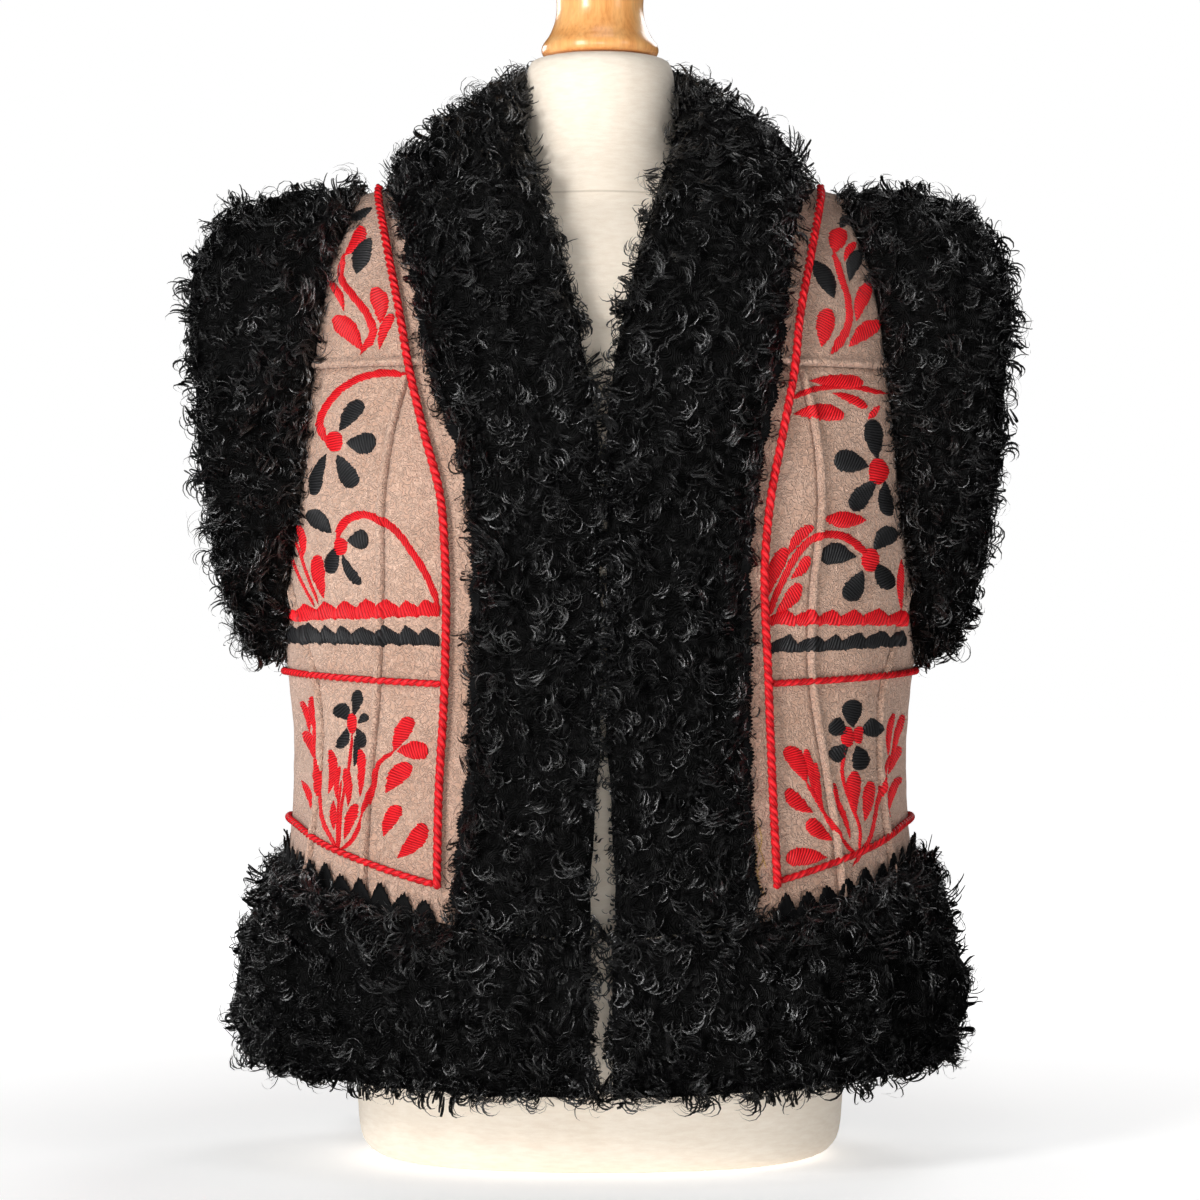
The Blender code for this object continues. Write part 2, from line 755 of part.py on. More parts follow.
def add_bands_and_collar():
    """One run of fur up the right front, behind the neck and down the left front, in three pieces."""
    halves = []
    for side, sign in SIDES.items():
        band, collar = band_edges(side), collar_edges(side)
        joined = [np.concatenate([low, high[1:]]) for low, high in zip(band, collar)]
        halves.append([joined[0] * (sign, 1, 1), joined[1] * (sign, 1, 1), joined[2]])
    left, right = halves
    inner, outer, stands = (np.concatenate([a, b[-2::-1]]) for a, b in zip(right, left))
    for end in (0, -1):
        inner[end, 2] += GAP
        outer[end, 2] += GAP
    outer += unit(inner - outer) * GAP
    sections = strip_sections(inner, outer, stands, bow=BOW)
    shoulder = len(band[0]) - 1
    cuts = (0, shoulder, len(sections) - 1 - shoulder, len(sections) - 1)
    for name, start, end in zip(("band_right", "collar_back", "band_left"), cuts, cuts[1:]):
        piece = sections[start : end + 1].copy()
        if start:
            piece[0] += unit(piece[1] - piece[0]) * GAP / 2
        if end < cuts[-1]:
            piece[-1] += unit(piece[-2] - piece[-1]) * GAP / 2
        add_tube(name, piece, FUR_LOOK)


def add_armhole(side):
    loop = armhole_loop(side)
    edge = body_point(loop[:, 0], loop[:, 1])
    height = ARM_MIDDLE + (edge[:, 2] - ARM_MIDDLE) * ARM_RIM_TALL
    rim = np.stack([smooth(ARM_RIM, 1, height), edge[:, 1] * ARM_RIM_DEEP, height], -1)
    edge = edge + unit(rim - edge) * GAP
    sections = strip_sections(edge, rim, smooth(ARM_FUR, 1, edge[:, 2]), closed=True)
    add_tube("armhole_" + side, sections, FUR_LOOK, closed=True, sign=SIDES[side])


def add_hem(name, q, sign=1):
    top = level(HEM_TOP, HEM_TOP_RISE, q)[:, None] - GAP
    foot = level(HEM_FOOT, HEM_FOOT_RISE, q)[:, None]
    height = top + (foot - top) * FUR_SHARES
    q = np.broadcast_to(q[:, None], height.shape)
    v = at_height(q, height)
    sections = fur_sections(body_point(q, v), body_normal(q, v), HEM_FUR)
    sections[0] += unit(sections[1] - sections[0]) * GAP / 2
    sections[-1] += unit(sections[-2] - sections[-1]) * GAP / 2
    add_tube(name, sections, FUR_LOOK, sign=sign)


def hem_corners(side):
    """q where each seam of one side meets the hem band."""
    fronts = [low_edge(table, side)[0, 0] for table in (BAND_EDGE, PRINCESS)]
    return (*fronts, side_seam(side)[0, 0], back_princess(side)[0, 0])


def add_hem_front(side):
    band, princess, seam, _ = hem_corners(side)
    start = place(HEM_GAP[side], HEM_TOP)[0]
    q = [start + (band - start) * np.linspace(0, 1, HEM_CORNER_STEPS + 1)]
    q += [band + (princess - band) * FRONT_COLUMNS[1:]]
    q += [princess + (seam - princess) * SIDE_COLUMNS[1:]]
    add_hem("hem_" + side, np.concatenate(q), SIDES[side])


def half_hem_back(side):
    _, _, seam, princess = hem_corners(side)
    return seam + (princess - seam) * back_side_columns(side)


def add_hem_back():
    right, left = half_hem_back("right"), 2 * math.pi - half_hem_back("left")
    middle = right[-1] + (left[-1] - right[-1]) * BACK_SHARES
    add_hem("hem_back", np.concatenate([right[:-1], middle, left[-2::-1]]))


# ---- Trims


def even_steps(start, end, height, step):
    """Values of q from start to end, with even lengths of cloth between them."""
    q = np.linspace(start, end, FINE_STEPS)
    points = body_point(q, at_height(q, height(q)))
    length = np.concatenate([[0], np.cumsum(np.linalg.norm(np.diff(points, axis=0), axis=-1))])
    count = max(2, round(length[-1] / step))
    return np.interp(np.linspace(0, length[-1], count + 1), length, q)


def raised(grid, by):
    return body_point(grid[..., 0], grid[..., 1]) + body_normal(grid[..., 0], grid[..., 1]) * by


def add_cord(name, points, seat, sign=1):
    """A round cord that lies on the suede, along points in q and v."""
    way = mirrored(raised(points, (seat + CORD / 2)[:, None]), sign)
    curve = bpy.data.curves.new(name, "CURVE")
    curve.dimensions = "3D"
    curve.bevel_depth = CORD / 2
    curve.bevel_resolution = 1
    curve.use_fill_caps = True
    spline = curve.splines.new("POLY")
    spline.points.add(len(way) - 1)
    for point, place_of in zip(spline.points, way):
        point.co = (*map(float, place_of), 1)
    curve.materials.append(CORD_LOOK)
    PARTS.objects.link(bpy.data.objects.new(name, curve))


def waist_height(q):
    return level(WAIST, WAIST_RISE, q)


def hem_cord_height(q):
    return level(HEM_CORD, HEM_CORD_RISE, q)


def crossing(table, side, height):
    """q where a line of the table meets a line that runs round the body."""
    z = height(QUARTER / 2)
    for _ in range(SOLVE_STEPS):
        z = height(line(table, side, z)[..., 0])
    return float(line(table, side, z)[0])


def add_round_cord(name, height):
    """A cord from the right border round the back to the left one; behind the side seams it sits lower."""
    ends = []
    for side in ("right", "left"):
        width = smooth(BODY, 1, height(0))
        ends.append(crossing(BORDER, side, height) + (CORD / 2 + JOINT) / width)
    q = even_steps(ends[0], 2 * math.pi - ends[1], height, CORD_STEP)
    behind = np.clip((-np.cos(q) - SEAT_FADE) / SEAT_FADE, 0, 1)
    add_cord(name, np.stack([q, at_height(q, height(q))], -1), SEAT + SEAM_RISE * (1 - behind))


def add_border(side):
    low, high = BORDER[0][0] - CORD / 2, top_height(BORDER, side)
    rows = np.linspace(0, 1, round((high - low) / CORD_STEP) + 1)
    points = up_line(BORDER, side, rows, low, high - CORD / 2)
    add_cord("border_" + side, points, np.full(len(points), SEAM_RISE + SEAT), SIDES[side])


def add_pinked(name, base, tips, sign=1):
    """A thin strip with a zigzag edge, between two lines of points in q and v."""
    grid = np.stack([base, tips])
    add_wall(name, raised(grid, SEAT + PINKED), raised(grid, SEAT), LEATHER_LOOK, sign)


def zigzag(count, low, high):
    return np.where(np.arange(count) % 2, high, low)


def hem_edge_height(q):
    return level(HEM_TOP, HEM_TOP_RISE, q) + SEAT


def add_hem_edge():
    """The pinked leather over the hem band, from the right front band round the back to the left one."""
    margin = PINK_DEPTH / smooth(BODY, 1, HEM_TOP)
    right, left = (low_edge(BAND_EDGE, side)[0, 0] + margin for side in ("right", "left"))
    q = even_steps(right, 2 * math.pi - left, hem_edge_height, PINK_STEP / 2)
    depth = zigzag(len(q), PINK_LOW, PINK_DEPTH)
    base = np.stack([q, at_height(q, hem_edge_height(q))], -1)
    tips = np.stack([q, at_height(q, hem_edge_height(q) + depth)], -1)
    add_pinked("hem_edge", base, tips)


def add_band_edge(side):
    """The pinked leather beside a front band; it runs down, so that its tips are its upper row."""
    low, high = hem_height(BAND_EDGE, side) + 2 * PINK_DEPTH, top_height(BAND_EDGE, side) - PINK_DEPTH
    count = 2 * round((high - low) / BAND_PINK_STEP) + 1
    heights = np.linspace(high, low, count)
    edge = smooth(BAND_EDGE, COLUMN[side], heights)
    reach = zigzag(count, BAND_PINK_LOW, BAND_PINK_DEPTH)
    base, tips = place(edge + SEAT, heights), place(edge + reach, heights)
    add_pinked("band_edge_" + side, base, tips, SIDES[side])


# ---- Dress form


def add_form():
    columns = np.linspace(-math.pi, math.pi, FORM_COLUMNS, endpoint=False)
    ridge = RIDGE - SUEDE - 2 * GAP
    edge_rows = np.array(BASE_EDGE_ROWS) * BASE_EDGE
    low_rows = 2 - np.concatenate([edge_rows, np.linspace(FORM_LOW, CHEST, FORM_LOW_STEPS)]) / CHEST
    shoulder = line(ARMHOLE, "right", YOKE_SEAM)[1] * (1 - YOKE_ROWS)
    rows = np.concatenate([low_rows, [FORM_ABOVE_CHEST], shoulder])
    q, v = np.meshgrid(columns, rows)
    points = section_point(q, v, FORM, ridge, (2, 2))
    edge = np.clip(1 - points[..., 2] / BASE_EDGE, 0, 1)
    inset = BASE_EDGE * (1 - np.sqrt(1 - edge**2))
    points[..., :2] *= 1 - (inset / FORM[0][1])[..., None]
    count = len(columns)
    faces = []
    for row in range(len(rows) - 1):
        for column in range(count):
            beside = (column + 1) % count
            low, high = row * count, (row + 1) * count
            faces.append((low + column, low + beside, high + beside, high + column))
    faces.append(tuple(range(count))[::-1])
    form = add_mesh("form_body", points.reshape(-1, 3), faces, FORM_LOOK)
    mesh = bmesh.new()
    mesh.from_mesh(form.data)
    bmesh.ops.remove_doubles(mesh, verts=mesh.verts, dist=TINY)
    bmesh.ops.dissolve_degenerate(mesh, edges=mesh.edges, dist=TINY)
    bmesh.ops.recalc_face_normals(mesh, faces=mesh.faces)
    mesh.to_mesh(form.data)
    mesh.free()
    neck = add_turned("neck_cutter", NECK_PROFILE, FORM_LOOK, CUTTERS, FORM_COLUMNS)
    neck.hide_render = True
    neck.display_type = "WIRE"
    join = form.modifiers.new("neck", "BOOLEAN")
    join.operation = "UNION"
    join.object = neck


def add_turned(name, profile, material, collection, steps):
    """A turned solid: the profile, top to bottom, carried round the Z axis."""
    mesh = bpy.data.meshes.new(name)
    edges = [(i, i + 1) for i in range(len(profile) - 1)]
    mesh.from_pydata([(radius, 0, height) for radius, height in profile], edges, [])
    mesh.materials.append(material)
    piece = bpy.data.objects.new(name, mesh)
    collection.objects.link(piece)
    turn = piece.modifiers.new("turn", "SCREW")
    turn.steps = turn.render_steps = steps
    turn.use_merge_vertices = True
    turn.merge_threshold = TINY
    turn.use_smooth_shade = True
    return piece


# ---- Materials and assembly


def look(name, colour, roughness):
    material = bpy.data.materials.new(name)
    material.use_nodes = True
    shader = material.node_tree.nodes["Principled BSDF"]
    shader.inputs["Base Color"].default_value = (*colour, 1)
    shader.inputs["Roughness"].default_value = roughness
    shader.inputs["Metallic"].default_value = 0
    return material


def clear_scene():
    for item in list(bpy.data.objects):
        bpy.data.objects.remove(item, do_unlink=True)


def collection(name):
    made = bpy.data.collections.new(name)
    bpy.context.scene.collection.children.link(made)
    return made


clear_scene()
PARTS = collection("folk_vest_on_form")
CUTTERS = collection("cutters")
SUEDE_LOOK = look("suede", (0.55, 0.37, 0.25), 0.95)
FUR_LOOK = look("lambskin", (0.012, 0.012, 0.013), 0.6)
CORD_LOOK = look("red_cord", (0.60, 0.02, 0.025), 0.7)
LEATHER_LOOK = look("black_leather", (0.02, 0.02, 0.022), 0.5)
FORM_LOOK = look("form_cover", (0.86, 0.80, 0.70), 0.9)
WOOD_LOOK = look("turned_wood", (0.75, 0.38, 0.13), 0.3)

add_form()
add_turned("neck_cap", CAP_PROFILE, WOOD_LOOK, PARTS, CAP_COLUMNS)
for each_side in SIDES:
    add_front(each_side)
    add_side_front(each_side)
    add_yoke(each_side)
    add_back_side(each_side)
    add_armhole(each_side)
    add_hem_front(each_side)
    add_border(each_side)
    add_band_edge(each_side)
add_back_centre()
add_back_yoke()
add_bands_and_collar()
add_hem_back()
add_hem_edge()
add_round_cord("waist_cord", waist_height)
add_round_cord("hem_cord", hem_cord_height)
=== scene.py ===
"""Looks of the folk vest on its dress form: suede shells, embroidery, cords, pinked leather and curled fur.

Metres, +Z up, front towards -Y. Every piece lies on body_point(q, v), the surface that the solids use.
"""

import math

import bmesh
import bpy
import numpy as np
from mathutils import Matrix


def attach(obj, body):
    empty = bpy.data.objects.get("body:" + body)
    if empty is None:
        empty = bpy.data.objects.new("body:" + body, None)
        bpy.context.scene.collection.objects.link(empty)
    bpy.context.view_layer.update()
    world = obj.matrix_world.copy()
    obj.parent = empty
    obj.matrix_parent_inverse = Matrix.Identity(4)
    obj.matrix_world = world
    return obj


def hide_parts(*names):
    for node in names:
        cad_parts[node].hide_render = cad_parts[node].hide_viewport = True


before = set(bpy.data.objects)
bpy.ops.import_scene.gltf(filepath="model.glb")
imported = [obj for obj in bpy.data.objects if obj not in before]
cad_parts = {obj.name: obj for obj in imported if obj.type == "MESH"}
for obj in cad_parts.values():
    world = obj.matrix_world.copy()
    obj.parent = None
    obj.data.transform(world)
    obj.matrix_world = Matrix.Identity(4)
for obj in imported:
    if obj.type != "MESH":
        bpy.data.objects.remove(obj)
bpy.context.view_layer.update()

# ---- The surface that the solids use

GAP = 0.0003
SUEDE = 0.0024
RIDGE = 0.706
CHEST = 0.480
SHOULDER_SLOPE = 0.25
SOFT_NECK = 0.02
ROUNDNESS = 2.3
SHOULDER_FADE = 1.5
QUARTER = math.pi / 2
NUDGE = 0.0001
TINY = 0.000001
SOLVE_STEPS = 30
FINE_STEPS = 600

# height, half width, depth in front, depth behind
BODY = (
    (0.030, 0.238, 0.152, 0.146),
    (0.130, 0.232, 0.150, 0.142),
    (0.200, 0.2185, 0.146, 0.134),
    (0.280, 0.2135, 0.140, 0.127),
    (0.360, 0.2200, 0.137, 0.124),
    (0.480, 0.2220, 0.134, 0.124),
    (0.600, 0.2120, 0.134, 0.124),
    (0.660, 0.1960, 0.134, 0.124),
    (0.706, 0.1780, 0.134, 0.124),
)
# way round in degrees, height, half width, half height, depth
FOLDS = (
    (55, 0.255, 10, 0.065, 0.0025),
    (74, 0.290, 9, 0.090, -0.0030),
    (108, 0.280, 11, 0.100, 0.0040),
    (132, 0.270, 11, 0.090, -0.0040),
    (180, 0.330, 13, 0.120, -0.0050),
)
# height, distance from the middle on the left and on the right
BAND_EDGE = (
    (0.170, 0.0965, 0.1035),
    (0.225, 0.0915, 0.0990),
    (0.270, 0.0855, 0.0975),
    (0.360, 0.0835, 0.0970),
    (0.415, 0.0825, 0.0975),
    (0.455, 0.0860, 0.1015),
    (0.490, 0.0940, 0.1070),
    (0.520, 0.1060, 0.1135),
    (0.555, 0.1155, 0.1190),
    (0.595, 0.1225, 0.1235),
    (0.640, 0.1330, 0.1300),
    (0.672, 0.1420, 0.1400),
)
PRINCESS = (
    (0.170, 0.1580, 0.1620),
    (0.225, 0.1540, 0.1555),
    (0.280, 0.1500, 0.1470),
    (0.340, 0.1460, 0.1390),
    (0.400, 0.1445, 0.1410),
    (0.450, 0.1440, 0.1460),
    (0.500, 0.1370, 0.1420),
    (0.543, 0.1250, 0.1320),
)
SIDE_SEAM = (
    (0.190, 0.1990, 0.1990),
    (0.250, 0.1900, 0.1900),
    (0.295, 0.1870, 0.1870),
    (0.325, 0.1900, 0.1900),
    (0.360, 0.2015, 0.2015),
    (0.400, 0.2135, 0.2135),
)
ARMHOLE = (
    (0.400, 0.2135, 0.2135),
    (0.454, 0.2045, 0.2045),
    (0.502, 0.1995, 0.1995),
    (0.543, 0.1950, 0.1950),
    (0.584, 0.1900, 0.1900),
    (0.622, 0.1825, 0.1825),
    (0.650, 0.1720, 0.1720),
    (0.672, 0.1690, 0.1690),
)
BORDER = (
    (0.197, 0.1065, 0.1160),
    (0.250, 0.1058, 0.1135),
    (0.333, 0.1018, 0.1105),
    (0.415, 0.1018, 0.1085),
    (0.455, 0.1050, 0.1125),
    (0.500, 0.1165, 0.1210),
    (0.540, 0.1260, 0.1285),
    (0.575, 0.1325, 0.1325),
    (0.615, 0.1410, 0.1405),
    (0.664, 0.1520, 0.1515),
)
BACK_PRINCESS = ((0.170, 0.1000, 0.1000), (0.340, 0.0900, 0.0900), (0.543, 0.1350, 0.1350))
# height of the outer edge, then x, y and z of the inner edge
COLLAR_INNER = (
    (0.470, 0.0000, -0.1340, 0.470),
    (0.505, 0.0020, -0.1300, 0.507),
    (0.543, 0.0090, -0.1220, 0.552),
    (0.585, 0.0190, -0.1080, 0.602),
    (0.625, 0.0320, -0.0880, 0.648),
    (0.655, 0.0450, -0.0600, 0.690),
    (0.672, 0.0565, -0.0230, 0.735),
)
CLOSURE = 0.0022
V_POINT = 0.470
OPENING_TOP = 0.290
OPENING_WIDE = 0.200
OPENING = 0.0060
# height, distance from the middle
ARM_RIM = (
    (0.360, 0.2480),
    (0.386, 0.2590),
    (0.413, 0.2670),
    (0.450, 0.2710),
    (0.490, 0.2770),
    (0.530, 0.2790),
    (0.588, 0.2845),
    (0.630, 0.2755),
    (0.652, 0.2590),
)
ARM_MIDDLE = 0.500
ARM_RIM_TALL = 0.92
ARM_RIM_DEEP = 0.90
ARM_FUR = ((0.348, 0.012), (0.400, 0.017), (0.500, 0.021), (0.620, 0.021), (0.672, 0.016))
YOKE_SEAM = 0.543
ARMHOLE_FOOT = 0.348
ARMPIT = 0.400
COLLAR_DROP = 0.085
COLLAR_TOP = 0.765
NAPE_RADIUS = 0.0605
HEM_TOP = 0.162
HEM_TOP_RISE = 0.046
HEM_FOOT = 0.055
HEM_FOOT_RISE = 0.013
HEM_GAP = {"left": 0.0060, "right": 0.0080}
WAIST = 0.328
WAIST_RISE = 0.009
HEM_CORD = 0.185
HEM_CORD_RISE = 0.050
BAND_FUR = ((0.180, 0.018), (0.400, 0.018), (0.500, 0.021), (0.600, 0.024), (0.672, 0.025))
COLLAR_FUR = 0.025
HEM_FUR = 0.027
FUR_BACK = 0.003
FUR_FULLNESS = 0.75
CORD = 0.0058
# Half widths and half depths of the dress form
FORM = (
    (0.000, 0.167, 0.110),
    (0.100, 0.171, 0.115),
    (0.200, 0.161, 0.109),
    (0.300, 0.148, 0.101),
    (0.400, 0.156, 0.107),
    (0.480, 0.166, 0.112),
    (0.600, 0.171, 0.112),
    (0.660, 0.166, 0.112),
    (0.706, 0.152, 0.112),
)
BASE_EDGE = 0.020
NECK_TOP = 0.765
NECK_PROFILE = (
    (0.0000, NECK_TOP),
    (0.0470, NECK_TOP),
    (0.0508, NECK_TOP - 0.0022),
    (0.0525, NECK_TOP - 0.0070),
    (0.0525, 0.7150),
    (0.0545, 0.7000),
    (0.0590, 0.6850),
    (0.0660, 0.6670),
    (0.0680, 0.6300),
    (0.0000, 0.6200),
)
CAP_PROFILE = (
    (0.0000, 0.8380),
    (0.0120, 0.8370),
    (0.0230, 0.8330),
    (0.0300, 0.8260),
    (0.0320, 0.8190),
    (0.0310, 0.8110),
    (0.0303, 0.8040),
    (0.0303, 0.7970),
    (0.0318, 0.7890),
    (0.0355, 0.7800),
    (0.0400, 0.7745),
    (0.0415, 0.7725),
    (0.0415, 0.7690),
    (0.0402, NECK_TOP + 0.0010),
    (0.0390, NECK_TOP + GAP),
    (0.0000, NECK_TOP + GAP),
)

SIDES = {"left": -1, "right": 1}
COLUMN = {"left": 1, "right": 2}


def smooth(table, column, at):
    rows = np.array(table, float)
    x, y = rows[:, 0], rows[:, column]
    slope = np.gradient(y, x)
    at = np.clip(at, x[0], x[-1])
    i = np.clip(np.searchsorted(x, at, side="right") - 1, 0, len(x) - 2)
    step = x[i + 1] - x[i]
    f = (at - x[i]) / step
    start = y[i] * (1 + 2 * f) * (1 - f) ** 2 + step * slope[i] * f * (1 - f) ** 2
    end = y[i + 1] * f**2 * (3 - 2 * f) + step * slope[i + 1] * f**2 * (f - 1)
    return start + end


def centre_height(v, ridge=RIDGE):
    closing = np.cos(np.clip(v, 0, 1) * QUARTER)
    return CHEST + (ridge - CHEST) * closing - np.maximum(v - 1, 0) * CHEST


def way_down(height):
    above = np.clip((height - CHEST) / (RIDGE - CHEST), 0, 1)
    return np.where(height > CHEST, np.arccos(above) / QUARTER, 1 + (CHEST - height) / CHEST)


def side_drop(height, x, ridge=RIDGE):
    share = np.clip((height - CHEST) / (ridge - CHEST), 0, 1) ** SHOULDER_FADE
    return SHOULDER_SLOPE * share * (np.sqrt(x**2 + SOFT_NECK**2) - SOFT_NECK)


def section_point(q, v, table, ridge, depths):
    height = centre_height(v, ridge)
    width = smooth(table, 1, height)
    across = np.sin(q)
    flat = (1 - np.minimum(np.abs(across), 1) ** ROUNDNESS) ** (1 / ROUNDNESS)
    closing = np.sin(np.clip(v, 0, 1) * QUARTER)
    front, back = (smooth(table, column, height) * closing for column in depths)
    x = width * across
    y = np.where(np.cos(q) > 0, -front * flat, back * flat)
    return np.stack([x, y, height - side_drop(height, x, ridge)], -1)


def body_point(q, v):
    q, v = np.broadcast_arrays(np.asarray(q, float), np.asarray(v, float))
    point = section_point(q, v, BODY, RIDGE, (2, 3))
    turn = np.degrees(np.arccos(np.cos(q)))
    out = np.zeros(q.shape)
    for angle, height, wide, tall, depth in FOLDS:
        near = ((turn - angle) / wide) ** 2 + ((point[..., 2] - height) / tall) ** 2
        out = out + depth * np.exp(-near)
    flat = point * (1, 1, 0)
    return point + flat / np.maximum(np.linalg.norm(flat, axis=-1, keepdims=True), GAP) * out[..., None]


def unit(vector):
    return vector / np.maximum(np.linalg.norm(vector, axis=-1, keepdims=True), TINY)


def walked_along(points):
    """The length walked up to each point of a line."""
    return np.concatenate([[0], np.cumsum(np.linalg.norm(np.diff(points, axis=0), axis=-1))])


def body_normal(q, v):
    q, v = np.broadcast_arrays(np.asarray(q, float), np.asarray(v, float))
    down = np.maximum(v, NUDGE)
    round_body = body_point(q + NUDGE, down) - body_point(q - NUDGE, down)
    down_body = body_point(q, down + NUDGE) - body_point(q, down - NUDGE)
    return unit(np.cross(unit(down_body), unit(round_body)))


def place(x, z, back=False):
    x, z = np.broadcast_arrays(np.asarray(x, float), np.asarray(z, float))
    height = z
    for _ in range(SOLVE_STEPS):
        height = np.minimum(z + side_drop(height, x), RIDGE)
    q = np.arcsin(np.clip(x / smooth(BODY, 1, height), -1, 1))
    return np.stack([math.pi - q if back else q, way_down(height)], -1)


def at_height(q, z):
    q, z = np.broadcast_arrays(np.asarray(q, float), np.asarray(z, float))
    height = z
    for _ in range(SOLVE_STEPS):
        x = smooth(BODY, 1, height) * np.abs(np.sin(q))
        height = np.minimum(z + side_drop(height, x), RIDGE)
    return way_down(height)


def level(low, rise, q):
    return low + rise * np.sin(q) ** 2


def line(table, side, heights, back=False):
    return place(smooth(table, COLUMN[side], heights), heights, back)


def hem_height(table, side, back=False):
    height = HEM_TOP
    for _ in range(SOLVE_STEPS):
        height = level(HEM_TOP, HEM_TOP_RISE, line(table, side, height, back)[..., 0])
    return float(height)


# ---- Lines that the pieces share, as in the solids but finer

LOW_ROWS = np.linspace(0, 1, 85)
ARM_ROWS = LOW_ROWS[:36]
SEAM_ROWS = np.linspace(0, 1, len(LOW_ROWS) - len(ARM_ROWS) + 1)
ARM_SHARES = np.linspace(0, 1, len(ARM_ROWS))
YOKE_ROWS = np.linspace(0, 1, 39) ** 1.45
FRONT_COLUMNS = np.linspace(0, 1, 17)
SIDE_COLUMNS = np.concatenate([np.linspace(0, 0.085, 10), np.linspace(0.11, 1, 22)])
FOOT_STEPS = 26
BACK_YOKE_SHARES = np.linspace(0, 1, 15)
BACK_SHARES = np.linspace(0, 1, 61)


def up_line(table, side, rows, low, high, back=False):
    return line(table, side, low + (high - low) * rows, back)


def hem_run(start, end, shares):
    q = start + (end - start) * shares
    return np.stack([q, at_height(q, level(HEM_TOP, HEM_TOP_RISE, q))], -1)


def yoke_run(start, end, shares):
    q = start + (end - start) * shares
    return np.stack([q, at_height(q, YOKE_SEAM)], -1)


def shoulder_height(x):
    return RIDGE - side_drop(RIDGE, x)


def top_height(table, side):
    height = RIDGE
    for _ in range(SOLVE_STEPS):
        height = shoulder_height(smooth(table, COLUMN[side], height))
    return float(height)


def to_shoulder(table, side, back=False):
    v = line(table, side, YOKE_SEAM, back)[1] * (1 - YOKE_ROWS)
    middle = centre_height(v)
    height = middle
    for _ in range(SOLVE_STEPS):
        x = smooth(table, COLUMN[side], height)
        height = middle - side_drop(middle, x)
    q = np.arcsin(x / smooth(BODY, 1, middle))
    return np.stack([math.pi - q if back else q, v], -1)


def low_edge(table, side):
    return up_line(table, side, LOW_ROWS, hem_height(table, side), YOKE_SEAM)


def side_seam(side):
    return up_line(SIDE_SEAM, side, SEAM_ROWS, hem_height(SIDE_SEAM, side), ARMPIT)


def arm_low(side, back=False):
    return up_line(ARMHOLE, side, ARM_SHARES, ARMPIT, YOKE_SEAM, back)


def arm_foot(side):
    start = arm_low(side)[0, 0]
    turn = np.linspace(0, math.pi, FOOT_STEPS + 1)
    q = QUARTER - (QUARTER - start) * np.cos(turn)
    return np.stack([q, at_height(q, ARMPIT - (ARMPIT - ARMHOLE_FOOT) * np.sin(turn))], -1)


def armhole_loop(side):
    front = [arm_low(side), to_shoulder(ARMHOLE, side)[1:]]
    back = [to_shoulder(ARMHOLE, side, True)[-2::-1], arm_low(side, True)[-2::-1]]
    return np.concatenate([*front, *back, arm_foot(side)[-2:0:-1]])


def back_princess(side):
    low = hem_height(BACK_PRINCESS, side, True)
    return up_line(BACK_PRINCESS, side, SEAM_ROWS, low, YOKE_SEAM, True)


def back_collar_line(side):
    reach = smooth(BAND_EDGE, COLUMN[side], top_height(BAND_EDGE, side))
    turn = np.linspace(0, QUARTER, len(BACK_SHARES) // 2 + 1)
    x = reach * np.cos(turn)
    points = place(x, shoulder_height(x) - COLLAR_DROP * np.sin(turn) ** 2, back=True)
    points[0, 1] = 0
    points[-1, 0] = math.pi
    return points


def over(points):
    return np.stack([2 * math.pi - points[..., 0], points[..., 1]], -1)


def patch(bottom, top, start, end, across, up):
    s, r = across[None, :, None], up[:, None, None]
    sides = (1 - s) * start[:, None] + s * end[:, None]
    ends = (1 - r) * bottom[None] + r * top[None]
    low = (1 - s) * bottom[0] + s * bottom[-1]
    high = (1 - s) * top[0] + s * top[-1]
    return sides + ends - (1 - r) * low - r * high


# ---- Relief of the suede: welts beside the seams, puckers, soft creases

WELT = 0.0060
WELT_RISE = 0.0034
PUCKER = 0.00045
PUCKER_STEP = 0.0095
PUCKER_REACH = 0.009

